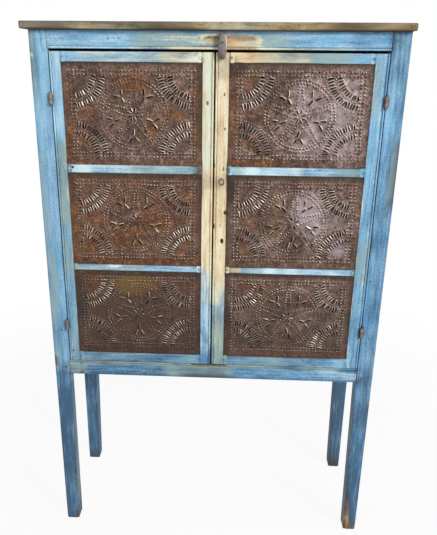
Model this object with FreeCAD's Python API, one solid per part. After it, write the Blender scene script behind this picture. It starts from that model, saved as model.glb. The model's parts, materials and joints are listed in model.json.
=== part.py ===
import FreeCAD, Part
import os

# Pie safe: a standing kitchen cupboard with two doors of pierced tin panels.
# Millimetres. +Z is up and the front faces -Y. The origin is on the floor, under the
# middle of the top boards. Left and right are as seen from the front.

# ---- Driving dimensions -------------------------------------------------------------

# Standard tinplate sheets, laid on a lap of the frame and held with tacks.
tin_width = 355.6
tin_height = 254.0
tin_thickness = 0.5
tin_count = 3
tin_lap = 11.0              # how far each edge of a tin lies on the frame
tin_recess = 2.4            # how deep a tin's face lies behind the frame's face
tin_play = 0.6              # between a tin's edge and the wood around it

# Door frames. A margin is the wood that shows beside or between the tins.
door_thickness = 22.0
left_stile_margin = 29.35
right_stile_margin = 34.6
top_margin = 24.8
upper_mid_margin = 22.9
lower_mid_margin = 18.4
bottom_margin = 29.1
door_tenon_thickness = 8.0
door_tenon_length = 27.0
door_tenon_set_back = 7.0   # from the frame's face to the tenon's cheek
door_tenon_shoulder = 6.0
door_peg_radius = 3.6
door_peg_inset = 6.5        # from the shoulder line into the stile

# Running gaps round the doors.
hinge_gap = 2.0
meeting_gap = 4.0
door_top_gap = 6.3
door_bottom_gap = 1.6
stop_gap = 0.5              # from a door's back to the floor and shelves that stop it

# Posts and legs.
post_width = 45.0
post_depth = 48.0
foot_width = 37.5
foot_depth = 46.0
leg_height = 536.7
taper_drop = 8.0            # the taper starts this far below the rails
foot_chamfer = 1.5

# Rails of the case.
front_top_rail_height = 44.2
front_bottom_rail_height = 44.7
front_top_rail_thickness = 22.0
front_bottom_rail_thickness = 32.0
rear_rail_height = 60.0
rear_rail_thickness = 20.0
side_top_rail_height = 70.0
side_rail_thickness = 22.0
side_rail_inset = 2.0
case_tenon_thickness = 10.0
front_tenon_set_back = 6.0
rear_tenon_set_back = 5.0
side_tenon_set_back = 5.5
cross_tenon_length = 25.0
side_tenon_length = 14.0
case_tenon_shoulder = 8.0
tenon_end_gap = 1.0
case_peg_radius = 3.8
case_peg_length = 30.0

# Scratched bead along the edges round the doors.
bead_radius = 2.7
bead_quirk = 1.2

# Sides, back, top and inside boards.
side_span = 276.0           # between the front and rear posts
panel_thickness = 12.0
panel_inset = 6.0
groove_depth = 8.0
groove_play = 1.0
back_board_count = 4
back_board_thickness = 12.0
back_board_gap = 0.8
top_thickness = 18.1
top_front_board_depth = 205.0
top_board_gap = 0.6
top_overhang_left = 16.9
top_overhang_right = 6.4
top_overhang_front = 20.0
top_edge_radius = 4.0
board_thickness = 18.0
board_play = 1.0            # between the inside boards and what they are notched round
cleat_height = 22.0
cleat_thickness = 18.0

# Cut nails.
nail_head_width = 5.5
nail_head_depth = 4.0
nail_head_thickness = 1.2
nail_shank = 2.6
nail_length = 42.0
short_nail_length = 25.0
nail_edge_distance = 14.0
top_nails_per_rail = 5
top_nails_per_side = 2

# Tacks.
tack_head_radius = 2.5
tack_head_crown_radius = 1.5
tack_head_height = 0.9
tack_shank_radius = 0.8
tack_length = 9.0
tack_corner_inset = 19.0
tack_edge_inset = 6.5

# Butt hinges.
hinge_height = 30.0
hinge_end_distance = 114.0  # from a door's end to the middle of its hinge
leaf_depth = 24.0           # from the pin to the leaf's far edge
leaf_thickness = 1.6
leaf_gap = 0.5
knuckle_radius = 4.5
knuckle_gap = 0.3
knuckle_clearance = 0.4
pin_radius = 1.7
pin_head_radius = 2.8
pin_head_height = 1.4
screw_head_radius = 2.9
screw_shank_radius = 1.4
screw_length = 15.0
screw_slot = 0.6
screw_spread = 8.5          # from the hinge's middle to each screw
running_clearance = 0.06
hole_clearance = 0.05

# Wooden turn buttons, each on one round headed screw.
button_thickness = 13.0
button_clearance = 0.4
button_half_width = 10.5
button_end_half_width = 6.5
button_corner_radius = 2.5
outer_button_long_arm = 38.0
outer_button_short_arm = 22.0
outer_button_offset = 15.5  # from the right door's meeting edge
outer_button_rise = 16.0    # above the top rail's lower edge
inner_button_long_arm = 45.0
inner_button_short_arm = 15.0
inner_button_offset = 21.0  # from the left door's meeting edge
inner_button_drop = 20.0    # below the door's top
button_screw_radius = 2.2
button_screw_head_radius = 3.6
button_screw_head_height = 1.6
button_screw_grip = 14.0    # how far the screw holds in the wood

# Hole of a lost pull in the right door's meeting stile.
pull_hole_radius = 2.5
pull_hole_offset = 24.0     # from the meeting edge
pull_hole_height = 376.0    # above the door's bottom

# ---- Sizes that follow --------------------------------------------------------------

left_door_width = tin_width + 2 * left_stile_margin
right_door_width = tin_width + 2 * right_stile_margin
door_height = (tin_count * tin_height + top_margin + upper_mid_margin
               + lower_mid_margin + bottom_margin)
opening_width = left_door_width + right_door_width + meeting_gap + 2 * hinge_gap
opening_height = door_height + door_top_gap + door_bottom_gap

case_width = opening_width + 2 * post_width
case_depth = side_span + 2 * post_depth
case_height = (leg_height + front_bottom_rail_height + opening_height
               + front_top_rail_height)
top_length = case_width + top_overhang_left + top_overhang_right
top_depth = case_depth + top_overhang_front

case_left = -top_length / 2 + top_overhang_left
case_right = case_left + case_width
front = -top_depth / 2 + top_overhang_front
back = front + case_depth
opening_left = case_left + post_width
opening_right = case_right - post_width
floor_top = leg_height + front_bottom_rail_height + board_thickness

door_bottom = leg_height + front_bottom_rail_height + door_bottom_gap
door_top = door_bottom + door_height
door_back = front + door_thickness
left_door_left = opening_left + hinge_gap
left_door_right = left_door_left + left_door_width
right_door_left = left_door_right + meeting_gap
right_door_right = right_door_left + right_door_width
top_rail_bottom = case_height - front_top_rail_height

# Lower edge of each tin, from the bottom up, and the wood between them.
tin_gaps = (bottom_margin, lower_mid_margin, upper_mid_margin, top_margin)
tin_bottoms = [door_bottom + sum(tin_gaps[:place + 1]) + place * tin_height
               for place in range(tin_count)]
shelf_tops = {
    "lower": tin_bottoms[1] - lower_mid_margin / 2 + board_thickness / 2,
    "upper": tin_bottoms[2] - upper_mid_margin / 2 + board_thickness / 2,
}

pin_y = front - knuckle_radius - knuckle_clearance
hinge_heights = (door_bottom + hinge_end_distance, door_top - hinge_end_distance)

along_x = FreeCAD.Vector(1, 0, 0)
along_y = FreeCAD.Vector(0, 1, 0)
along_z = FreeCAD.Vector(0, 0, 1)


# ---- Plain shapes -------------------------------------------------------------------

def box(x0, x1, y0, y1, z0, z1):
    """Block between two opposite corners, given in any order."""
    low = FreeCAD.Vector(min(x0, x1), min(y0, y1), min(z0, z1))
    return Part.makeBox(abs(x1 - x0), abs(y1 - y0), abs(z1 - z0), low)


def rod(radius, length, start, direction):
    """Round rod from a point."""
    return Part.makeCylinder(radius, length, start, direction)


def prism(points, run):
    """Solid swept from a flat outline along a vector."""
    outline = Part.makePolygon(points + [points[0]])
    return Part.Face(outline).extrude(run)


def joined(shapes):
    """One solid from several that touch or overlap."""
    return shapes[0].fuse(shapes[1:]).removeSplitter()


def save(name, solids):
    """Write one node, which is one solid or a group of separate ones."""
    shape = solids[0] if len(solids) == 1 else Part.makeCompound(solids)
    shape.exportStep(os.path.join("parts", name + ".step"))


def upright_bead(edge_x, inward, z0, z1):
    """What a scratch stock takes off the front of an upright edge."""
    far = edge_x + inward * (2 * bead_radius + bead_quirk)
    waste = box(edge_x, far, front, front + bead_radius, z0, z1)
    centre = FreeCAD.Vector(edge_x + inward * bead_radius, front + bead_radius, z0)
    return waste.cut(rod(bead_radius, z1 - z0, centre, along_z))


def level_bead(edge_z, inward, x0, x1):
    """What a scratch stock takes off the front of a level edge."""
    far = edge_z + inward * (2 * bead_radius + bead_quirk)
    waste = box(x0, x1, front, front + bead_radius, edge_z, far)
    centre = FreeCAD.Vector(x0, front + bead_radius, edge_z + inward * bead_radius)
    return waste.cut(rod(bead_radius, x1 - x0, centre, along_x))


# ---- Joints of the case -------------------------------------------------------------

def side_x(side, inset):
    """X of a plane set in from the left (-1) or right (1) face of the case."""
    return case_left + inset if side < 0 else case_right - inset


def cross_tenon(y0, z0, z1, end_gap):
    """Both tenons of a rail between the left and right posts, as one bar."""
    reach = cross_tenon_length + end_gap
    return box(opening_left - reach, opening_right + reach, y0, y0 + case_tenon_thickness,
               z0 + case_tenon_shoulder, z1 - case_tenon_shoulder)


def side_tenon(side, z0, z1, end_gap):
    """Both tenons of a rail between the front and rear posts, as one bar."""
    x0 = side_x(side, side_rail_inset + side_tenon_set_back)
    x1 = side_x(side, side_rail_inset + side_tenon_set_back + case_tenon_thickness)
    reach = side_tenon_length + end_gap
    return box(x0, x1, front + post_depth - reach, back - post_depth + reach,
               z0 + case_tenon_shoulder, z1 - case_tenon_shoulder)


# Each rail across the case: its front, back, bottom and top, and its tenon's front.
rear_rail_back = back - back_board_thickness
cross_rails = {
    "rail_front_top": (front, front + front_top_rail_thickness,
                       top_rail_bottom, case_height, front + front_tenon_set_back),
    "rail_front_bottom": (front, front + front_bottom_rail_thickness,
                          leg_height, leg_height + front_bottom_rail_height,
                          front + front_tenon_set_back),
    "rail_rear_top": (rear_rail_back - rear_rail_thickness, rear_rail_back,
                      case_height - rear_rail_height, case_height,
                      rear_rail_back - rear_rail_thickness + rear_tenon_set_back),
    "rail_rear_bottom": (rear_rail_back - rear_rail_thickness, rear_rail_back,
                         leg_height + front_bottom_rail_height - rear_rail_height,
                         leg_height + front_bottom_rail_height,
                         rear_rail_back - rear_rail_thickness + rear_tenon_set_back),
}
side_rails = {
    "top": (case_height - side_top_rail_height, case_height),
    "bottom": (leg_height, leg_height + front_bottom_rail_height),
}
sides = {"left": -1, "right": 1}


def side_panel(side, play):
    """Plank panel of one side, which fills its grooves less the play."""
    reach = groove_depth - play
    return box(side_x(side, panel_inset), side_x(side, panel_inset + panel_thickness),
               front + post_depth - reach, back - post_depth + reach,
               side_rails["bottom"][1] - reach, side_rails["top"][0] + reach)


def case_joint_pegs(clearance):
    """Pegs through every mortise and tenon joint of the case."""
    pegs = []
    radius = case_peg_radius + clearance
    for rail in cross_rails.values():
        from_front = rail[0] == front
        start_y = front if from_front else back
        run = along_y if from_front else -along_y
        for x in (opening_left - cross_tenon_length / 2, opening_right + cross_tenon_length / 2):
            start = FreeCAD.Vector(x, start_y, (rail[2] + rail[3]) / 2)
            pegs.append(rod(radius, case_peg_length, start, run))
    for side in sides.values():
        for z0, z1 in side_rails.values():
            for y in (front + post_depth - side_tenon_length / 2,
                      back - post_depth + side_tenon_length / 2):
                start = FreeCAD.Vector(side_x(side, 0), y, (z0 + z1) / 2)
                length = side_rail_inset + side_rail_thickness
                pegs.append(rod(radius, length, start, -along_x * side))
    return pegs


def post(side, from_front):
    """One post, from the top to the floor, with its leg tapered on the inner faces."""
    outer_x = side_x(side, 0)
    inner_x = side_x(side, post_width)
    foot_x = side_x(side, foot_width)
    outer_y = front if from_front else back
    inward = 1 if from_front else -1
    inner_y = outer_y + inward * post_depth
    foot_y = outer_y + inward * foot_depth
    shape = box(outer_x, inner_x, outer_y, inner_y, 0, case_height)
    taper_top = leg_height - taper_drop
    if not from_front:
        taper_top = cross_rails["rail_rear_bottom"][2] - taper_drop
    side_waste = [FreeCAD.Vector(inner_x, outer_y, taper_top),
                  FreeCAD.Vector(inner_x, outer_y, 0),
                  FreeCAD.Vector(foot_x, outer_y, 0)]
    depth_waste = [FreeCAD.Vector(outer_x, inner_y, taper_top),
                   FreeCAD.Vector(outer_x, inner_y, 0),
                   FreeCAD.Vector(outer_x, foot_y, 0)]
    shape = shape.cut(prism(side_waste, along_y * inward * post_depth))
    shape = shape.cut(prism(depth_waste, -along_x * side * post_width))
    sole_edges = [edge for edge in shape.Edges if edge.BoundBox.ZMax < foot_chamfer / 2]
    shape = shape.makeChamfer(foot_chamfer, sole_edges)
    waste = [cross_tenon(rail[4], rail[2], rail[3], tenon_end_gap)
             for rail in cross_rails.values()]
    waste += [side_tenon(side, z0, z1, tenon_end_gap) for z0, z1 in side_rails.values()]
    waste.append(side_panel(side, 0))
    return shape.cut(waste + case_joint_pegs(hole_clearance))


def cross_rail(name):
    """Rail between the left and right posts."""
    y0, y1, z0, z1, tenon_y = cross_rails[name]
    shape = joined([box(opening_left, opening_right, y0, y1, z0, z1),
                    cross_tenon(tenon_y, z0, z1, 0)])
    if name == "rail_front_top":
        shape = shape.cut(level_bead(z0, 1, opening_left, opening_right))
    if name == "rail_front_bottom":
        shape = shape.cut(level_bead(z1, -1, opening_left, opening_right))
    return shape.cut(case_joint_pegs(hole_clearance))


def side_rail(side, z0, z1):
    """Rail between the front and rear posts of one side, grooved for the panel."""
    shape = joined([box(side_x(side, side_rail_inset),
                        side_x(side, side_rail_inset + side_rail_thickness),
                        front + post_depth, back - post_depth, z0, z1),
                    side_tenon(side, z0, z1, 0)])
    return shape.cut([side_panel(side, 0)] + case_joint_pegs(hole_clearance))


# ---- Boards -------------------------------------------------------------------------

def inside_board(top):
    """Floor or shelf, notched round the posts."""
    x_inset = panel_inset + panel_thickness + board_play
    shape = box(side_x(-1, x_inset), side_x(1, x_inset), door_back + stop_gap,
                back - back_board_thickness - board_play, top - board_thickness, top)
    notches = []
    for side in sides.values():
        notches.append(box(side_x(side, 0), side_x(side, post_width + board_play),
                           front, front + post_depth + board_play, 0, case_height))
        notches.append(box(side_x(side, 0), side_x(side, post_width + board_play),
                           back, back - post_depth - board_play, 0, case_height))
    return shape.cut(notches)


def cleat(side, shelf_top):
    """Strip on one side panel that carries the end of a shelf."""
    x0 = side_x(side, panel_inset + panel_thickness)
    x1 = side_x(side, panel_inset + panel_thickness + cleat_thickness)
    top = shelf_top - board_thickness
    return box(x0, x1, front + post_depth, back - post_depth, top - cleat_height, top)


def back_board(place):
    """One upright board of the back, counted from the left."""
    pitch = (opening_width + back_board_gap) / back_board_count
    x0 = opening_left + place * pitch
    return box(x0, x0 + pitch - back_board_gap, back - back_board_thickness, back,
               cross_rails["rail_rear_bottom"][2], case_height)


def top_board(y0, y1):
    """One board of the top, from end to end."""
    return box(-top_length / 2, top_length / 2, y0, y1, case_height,
               case_height + top_thickness)


def top_front_board():
    """Front board of the top, with its front edge eased above and below."""
    y0 = front - top_overhang_front
    shape = top_board(y0, y0 + top_front_board_depth)
    front_edges = [edge for edge in shape.Edges
                   if edge.BoundBox.YMax < y0 + top_edge_radius
                   and edge.BoundBox.XLength > top_length / 2]
    return shape.makeFillet(top_edge_radius, front_edges)


# ---- Nails --------------------------------------------------------------------------

def nail(head, direction, length):
    """Cut nail, driven from the middle of its head's outer face."""
    across = along_x if abs(direction.y) > 0 else along_y
    upright = direction.cross(across)
    half_head = across * nail_head_width / 2 + upright * nail_head_depth / 2
    half_shank = (across + upright) * nail_shank / 2
    blocks = []
    for half, depth in ((half_head, nail_head_thickness), (half_shank, length)):
        low = head - half
        high = head + half + direction * depth
        blocks.append(box(low.x, high.x, low.y, high.y, low.z, high.z))
    return joined(blocks)


def spaced(low, high, count):
    """Evenly spaced places from low to high."""
    return [low + (high - low) * place / (count - 1) for place in range(count)]


def top_nails():
    """Nails down through the top boards into the rails."""
    rail_x = spaced(opening_left + nail_edge_distance, opening_right - nail_edge_distance,
                    top_nails_per_rail)
    front_y = front + front_top_rail_thickness / 2
    rear_y = rear_rail_back - rear_rail_thickness / 2
    places = [(x, y) for x in rail_x for y in (front_y, rear_y)]
    joint_y = front - top_overhang_front + top_front_board_depth
    front_run = spaced(front + post_depth + nail_edge_distance,
                       joint_y - nail_edge_distance, top_nails_per_side)
    rear_run = spaced(joint_y + nail_edge_distance,
                      back - post_depth - nail_edge_distance, top_nails_per_side)
    for side in sides.values():
        x = side_x(side, side_rail_inset + side_rail_thickness / 2)
        places += [(x, y) for y in front_run + rear_run]
    return [nail(FreeCAD.Vector(x, y, case_height + top_thickness), -along_z, nail_length)
            for x, y in places]


def back_nails():
    """Nails through the back boards into the rear rails."""
    nails = []
    pitch = (opening_width + back_board_gap) / back_board_count
    for place in range(back_board_count):
        middle = opening_left + (place + 0.5) * pitch
        offset = pitch / 2 - nail_edge_distance
        for name in ("rail_rear_top", "rail_rear_bottom"):
            rail = cross_rails[name]
            z = (rail[2] + rail[3]) / 2
            for x in (middle - offset, middle + offset):
                nails.append(nail(FreeCAD.Vector(x, back, z), -along_y, short_nail_length))
    return nails


def cleat_nails():
    """Nails through the cleats into the side panels."""
    nails = []
    for side in sides.values():
        x = side_x(side, panel_inset + panel_thickness + cleat_thickness)
        for shelf_top in shelf_tops.values():
            z = shelf_top - board_thickness - cleat_height / 2
            for y in (front + post_depth + nail_edge_distance,
                      back - post_depth - nail_edge_distance):
                nails.append(nail(FreeCAD.Vector(x, y, z), along_x * side, short_nail_length))
    return nails


# ---- Doors --------------------------------------------------------------------------

def door_rails():
    """Heights of a door's four rails, from the bottom up, with their laps."""
    names = ("bottom_rail", "lower_mid_rail", "upper_mid_rail", "top_rail")
    rails = {}
    z = door_bottom
    for name, gap in zip(names, tin_gaps):
        low = z if name == "bottom_rail" else z - tin_lap
        high = z + gap if name == "top_rail" else z + gap + tin_lap
        rails[name] = (low, high)
        z += gap + tin_height
    return rails


def tin_space(x0, x1, margin, tin_bottom, play, depth):
    """Space of one tin in the front of a door, grown by the play."""
    return box(x0 + margin - play, x1 - margin + play, front, front + depth,
               tin_bottom - play, tin_bottom + tin_height + play)


def door_tenon(x0, x1, stile_width, low, high, end_gap):
    """Both tenons of one door rail, as one bar."""
    reach = door_tenon_length + end_gap
    y0 = front + door_tenon_set_back
    return box(x0 + stile_width - reach, x1 - stile_width + reach, y0,
               y0 + door_tenon_thickness, low + door_tenon_shoulder,
               high - door_tenon_shoulder)


def door_pegs(x0, x1, stile_width, clearance):
    """Pegs through the stiles and tenons of one door."""
    pegs = []
    z = door_bottom
    for gap in tin_gaps:
        for x in (x0 + stile_width - door_peg_inset, x1 - stile_width + door_peg_inset):
            start = FreeCAD.Vector(x, front, z + gap / 2)
            pegs.append(rod(door_peg_radius + clearance, door_thickness, start, along_y))
        z += gap + tin_height
    return pegs


def tack(x, z, clearance):
    """Tack with its head on a tin's face, grown by the clearance to make its hole."""
    face_y = front + tin_recess
    shank = rod(tack_shank_radius + clearance, tack_length, FreeCAD.Vector(x, face_y, z),
                along_y)
    if clearance > 0:
        return shank
    head = Part.makeCone(tack_head_radius, tack_head_crown_radius, tack_head_height,
                         FreeCAD.Vector(x, face_y, z), -along_y)
    return joined([head, shank])


def door_tacks(x0, x1, margin, clearance):
    """Six tacks round each tin of one door."""
    xs = (x0 + margin + tack_corner_inset, (x0 + x1) / 2, x1 - margin - tack_corner_inset)
    return [tack(x, z, clearance) for tin_bottom in tin_bottoms for x in xs
            for z in (tin_bottom + tack_edge_inset,
                      tin_bottom + tin_height - tack_edge_inset)]


def door_parts(x0, x1, margin, hinge_side):
    """Every wooden piece and tin of one door, with its joints cut."""
    stile_width = margin + tin_lap
    rails = door_rails()
    pegs = door_pegs(x0, x1, stile_width, hole_clearance)
    tacks = door_tacks(x0, x1, margin, hole_clearance)
    pockets = [tin_space(x0, x1, margin, tin_bottom, tin_play, tin_recess + tin_thickness)
               for tin_bottom in tin_bottoms]
    sockets = [door_tenon(x0, x1, stile_width, low, high, tenon_end_gap)
               for low, high in rails.values()]
    parts = {}
    left_stile = box(x0, x0 + stile_width, front, door_back, door_bottom, door_top)
    right_stile = box(x1 - stile_width, x1, front, door_back, door_bottom, door_top)
    left_stile = left_stile.cut(upright_bead(x0, 1, door_bottom, door_top))
    right_stile = right_stile.cut(upright_bead(x1, -1, door_bottom, door_top))
    names = ("hinge_stile", "meeting_stile")
    if hinge_side > 0:
        names = ("meeting_stile", "hinge_stile")
    for name, stile in zip(names, (left_stile, right_stile)):
        parts[name] = stile.cut(pockets + sockets + pegs + tacks)
    for name, (low, high) in rails.items():
        rail = joined([box(x0 + stile_width, x1 - stile_width, front, door_back, low, high),
                       door_tenon(x0, x1, stile_width, low, high, 0)])
        parts[name] = rail.cut(pockets + pegs + tacks)
    for name, tin_bottom in zip(("lower_tin", "middle_tin", "upper_tin"), tin_bottoms):
        plate = tin_space(x0, x1, margin, tin_bottom, 0, tin_recess + tin_thickness)
        plate = plate.cut(tin_space(x0, x1, margin, tin_bottom, 0, tin_recess))
        parts[name] = plate.cut(tacks)
    return parts


# ---- Hinges -------------------------------------------------------------------------

def leaf(pin_x, toward, z_mid, knuckles):
    """Hinge leaf on the side of the pin that toward points to, with its knuckles."""
    near = pin_x + toward * leaf_gap / 2
    far = near + toward * leaf_thickness
    z0 = z_mid - hinge_height / 2
    z1 = z_mid + hinge_height / 2
    shapes = [box(near, far, pin_y + knuckle_radius + knuckle_clearance,
                  pin_y + leaf_depth, z0, z1)]
    for low, high in knuckles:
        shapes.append(box(near, far, pin_y, pin_y + leaf_depth / 2, low, high))
        shapes.append(rod(knuckle_radius, high - low, FreeCAD.Vector(pin_x, pin_y, low),
                          along_z))
    bore = rod(pin_radius + running_clearance, hinge_height,
               FreeCAD.Vector(pin_x, pin_y, z0), along_z)
    return joined(shapes).cut([bore] + leaf_screws(pin_x, toward, z_mid, hole_clearance))


def leaf_screws(pin_x, toward, z_mid, clearance):
    """The two countersunk screws of a leaf, grown by the clearance to make their holes."""
    screws = []
    face_x = pin_x + toward * leaf_gap / 2
    y = pin_y + (knuckle_radius + knuckle_clearance + leaf_depth) / 2
    for z in (z_mid - screw_spread, z_mid + screw_spread):
        start = FreeCAD.Vector(face_x, y, z)
        run = along_x * toward
        head = Part.makeCone(screw_head_radius + clearance, screw_shank_radius + clearance,
                             leaf_thickness, start, run)
        shank = rod(screw_shank_radius + clearance, screw_length, start, run)
        screw = joined([head, shank])
        if clearance == 0:
            slot = box(face_x, face_x + toward * screw_slot, y - screw_head_radius,
                       y + screw_head_radius, z - screw_slot / 2, z + screw_slot / 2)
            screw = screw.cut(slot)
        screws.append(screw)
    return screws


def leaf_recess(pin_x, toward, z_mid):
    """Wood taken out for one leaf."""
    far = pin_x + toward * (leaf_gap / 2 + leaf_thickness)
    return box(pin_x, far, pin_y, pin_y + leaf_depth,
               z_mid - hinge_height / 2, z_mid + hinge_height / 2)


def hinge_pin(pin_x, z_mid):
    """Loose pin with a head on top."""
    z0 = z_mid - hinge_height / 2
    z1 = z_mid + hinge_height / 2
    return joined([rod(pin_radius, hinge_height, FreeCAD.Vector(pin_x, pin_y, z0), along_z),
                   rod(pin_head_radius, pin_head_height, FreeCAD.Vector(pin_x, pin_y, z1),
                       along_z)])


def knuckle_heights(z_mid):
    """Heights of the three knuckles, from the bottom up."""
    pitch = (hinge_height + knuckle_gap) / 3
    z0 = z_mid - hinge_height / 2
    return [(z0 + place * pitch, z0 + (place + 1) * pitch - knuckle_gap)
            for place in range(3)]


# ---- Turn buttons -------------------------------------------------------------------

def turn_button(pivot, long_arm, short_arm):
    """Whittled button that hangs with its long arm down, with a hole for its screw.

    The pivot is the middle of the hole on the button's back face."""
    shoulder_up = short_arm / 2
    shoulder_down = long_arm / 2
    outline = [(-button_end_half_width, short_arm), (button_end_half_width, short_arm),
               (button_half_width, shoulder_up), (button_half_width, -shoulder_down),
               (button_end_half_width, -long_arm), (-button_end_half_width, -long_arm),
               (-button_half_width, -shoulder_down), (-button_half_width, shoulder_up)]
    points = [pivot + FreeCAD.Vector(x, 0, z) for x, z in outline]
    shape = prism(points, -along_y * button_thickness)
    long_edges = [edge for edge in shape.Edges if edge.BoundBox.YLength > button_thickness / 2]
    shape = shape.makeFillet(button_corner_radius, long_edges)
    return shape.cut(rod(button_screw_radius + running_clearance, button_thickness,
                         pivot, -along_y))


def button_screw(face, outward, clearance):
    """Screw that a button turns on, grown by the clearance to make its hole.

    Face is on the wood behind the button and outward points to the button."""
    head_y = button_clearance + button_thickness + button_clearance
    start = face - outward * button_screw_grip
    shank = rod(button_screw_radius + clearance, button_screw_grip + head_y, start, outward)
    if clearance > 0:
        return shank
    head = rod(button_screw_head_radius, button_screw_head_height, face + outward * head_y,
               outward)
    slot_low = face + outward * (head_y + button_screw_head_height - screw_slot)
    slot_high = face + outward * (head_y + button_screw_head_height)
    slot = box(slot_low.x - button_screw_head_radius, slot_low.x + button_screw_head_radius,
               slot_low.y, slot_high.y, slot_low.z - screw_slot / 2,
               slot_low.z + screw_slot / 2)
    return joined([shank, head]).cut(slot)


outer_button_face = FreeCAD.Vector(right_door_left + outer_button_offset, front,
                                   top_rail_bottom + outer_button_rise)
inner_button_face = FreeCAD.Vector(left_door_right - inner_button_offset, door_back,
                                   door_top - inner_button_drop)


def inner_button():
    """Button behind the left door, which hangs clear of the case until it is turned up."""
    pivot = inner_button_face + along_y * button_clearance
    shape = turn_button(pivot, inner_button_long_arm, inner_button_short_arm)
    shape.rotate(pivot, along_z, 180)
    return shape


# ---- Put together -------------------------------------------------------------------

os.makedirs("parts", exist_ok=True)

nails = top_nails() + back_nails() + cleat_nails()

# Name, left edge, right edge, stile margin, side of the hinges (-1 left, 1 right).
doors = (("left_door", left_door_left, left_door_right, left_stile_margin, -1),
         ("right_door", right_door_left, right_door_right, right_stile_margin, 1))

case_leaves = []
case_screws = []
pins = []
leaf_recesses = []
for door, x0, x1, margin, hinge_side in doors:
    pin_x = (x0 if hinge_side < 0 else x1) + hinge_side * hinge_gap / 2
    parts = door_parts(x0, x1, margin, hinge_side)
    door_leaves = []
    door_screws = []
    for z_mid in hinge_heights:
        lower, middle, upper = knuckle_heights(z_mid)
        case_leaves.append(leaf(pin_x, hinge_side, z_mid, (lower, upper)))
        door_leaves.append(leaf(pin_x, -hinge_side, z_mid, (middle,)))
        case_screws += leaf_screws(pin_x, hinge_side, z_mid, 0)
        door_screws += leaf_screws(pin_x, -hinge_side, z_mid, 0)
        pins.append(hinge_pin(pin_x, z_mid))
        leaf_recesses.append(leaf_recess(pin_x, hinge_side, z_mid))
        leaf_recesses += leaf_screws(pin_x, hinge_side, z_mid, hole_clearance)
        door_waste = [leaf_recess(pin_x, -hinge_side, z_mid)]
        door_waste += leaf_screws(pin_x, -hinge_side, z_mid, hole_clearance)
        parts["hinge_stile"] = parts["hinge_stile"].cut(door_waste)
    if door == "left_door":
        screw_hole = button_screw(inner_button_face, along_y, hole_clearance)
        for name in ("meeting_stile", "top_rail"):
            parts[name] = parts[name].cut(screw_hole)
    if door == "right_door":
        parts["meeting_stile"] = parts["meeting_stile"].cut(
            rod(pull_hole_radius, door_thickness,
                FreeCAD.Vector(x0 + pull_hole_offset, front, door_bottom + pull_hole_height),
                along_y))
    for name, shape in parts.items():
        save(door + "_" + name, [shape])
    save(door + "_tacks", door_tacks(x0, x1, margin, 0))
    save(door + "_pegs", door_pegs(x0, x1, margin + tin_lap, 0))
    save(door + "_hinge_leaves", door_leaves)
    save(door + "_hinge_screws", door_screws)

save("case_hinge_leaves", case_leaves)
save("case_hinge_screws", case_screws)
save("hinge_pins", pins)

for side_name, side in sides.items():
    save("post_front_" + side_name, [post(side, True).cut(leaf_recesses)])
    save("post_rear_" + side_name, [post(side, False)])
    for height_name, (z0, z1) in side_rails.items():
        save("rail_" + side_name + "_" + height_name, [side_rail(side, z0, z1).cut(nails)])
    save("side_panel_" + side_name, [side_panel(side, groove_play).cut(nails)])

for name in cross_rails:
    rail = cross_rail(name).cut(nails)
    if name == "rail_front_top":
        rail = rail.cut(button_screw(outer_button_face, -along_y, hole_clearance))
    save(name, [rail])

for place in range(back_board_count):
    save("back_board_" + str(place + 1), [back_board(place).cut(nails)])

joint_y = front - top_overhang_front + top_front_board_depth
save("top_board_front", [top_front_board().cut(nails)])
save("top_board_rear", [top_board(joint_y + top_board_gap, back).cut(nails)])
save("floor_board", [inside_board(floor_top)])
for place, shelf_top in shelf_tops.items():
    save("shelf_" + place, [inside_board(shelf_top)])
    save("cleats_" + place, [cleat(side, shelf_top).cut(nails) for side in sides.values()])

save("case_pegs", case_joint_pegs(0))
save("case_nails", nails)

outer_pivot = outer_button_face - along_y * button_clearance
save("turn_button", [turn_button(outer_pivot, outer_button_long_arm, outer_button_short_arm)])
save("turn_button_screw", [button_screw(outer_button_face, -along_y, 0)])
save("inside_button", [inner_button()])
save("inside_button_screw", [button_screw(inner_button_face, along_y, 0)])
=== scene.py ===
import json
import math
import random

import bmesh
import bpy
import numpy as np
from mathutils import Matrix, Vector, geometry, kdtree, noise


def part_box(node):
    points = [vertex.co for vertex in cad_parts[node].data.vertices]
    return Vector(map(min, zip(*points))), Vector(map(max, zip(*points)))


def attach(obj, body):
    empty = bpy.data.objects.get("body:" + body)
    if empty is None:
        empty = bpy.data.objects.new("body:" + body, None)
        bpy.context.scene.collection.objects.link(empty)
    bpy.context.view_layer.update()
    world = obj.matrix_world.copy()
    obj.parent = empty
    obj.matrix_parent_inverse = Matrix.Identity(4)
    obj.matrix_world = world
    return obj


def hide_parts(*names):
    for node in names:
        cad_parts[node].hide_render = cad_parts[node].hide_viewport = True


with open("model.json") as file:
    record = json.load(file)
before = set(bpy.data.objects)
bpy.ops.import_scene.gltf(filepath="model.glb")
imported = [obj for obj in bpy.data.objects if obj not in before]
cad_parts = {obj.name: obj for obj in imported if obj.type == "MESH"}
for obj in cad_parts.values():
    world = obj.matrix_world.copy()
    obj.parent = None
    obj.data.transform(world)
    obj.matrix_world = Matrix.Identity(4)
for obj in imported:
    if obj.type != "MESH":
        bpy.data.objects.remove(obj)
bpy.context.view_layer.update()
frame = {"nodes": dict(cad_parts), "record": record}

# Looks of the pie safe. Metres, in the frame of the CAD model: +Z is up, the front
# faces -Y, and left and right are as seen from the front.

nodes = frame["nodes"]
body_of = {node: body for body, members in frame["record"]["behaviour"]["bodies"].items()
           for node in members}

MM = 0.001
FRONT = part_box("post_front_left")[0].y          # face of the case
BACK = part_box("post_rear_left")[1].y
LEG_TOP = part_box("rail_front_bottom")[0].z
CASE_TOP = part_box("rail_front_top")[1].z
DOOR_LOW, DOOR_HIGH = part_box("left_door_hinge_stile")


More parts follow.
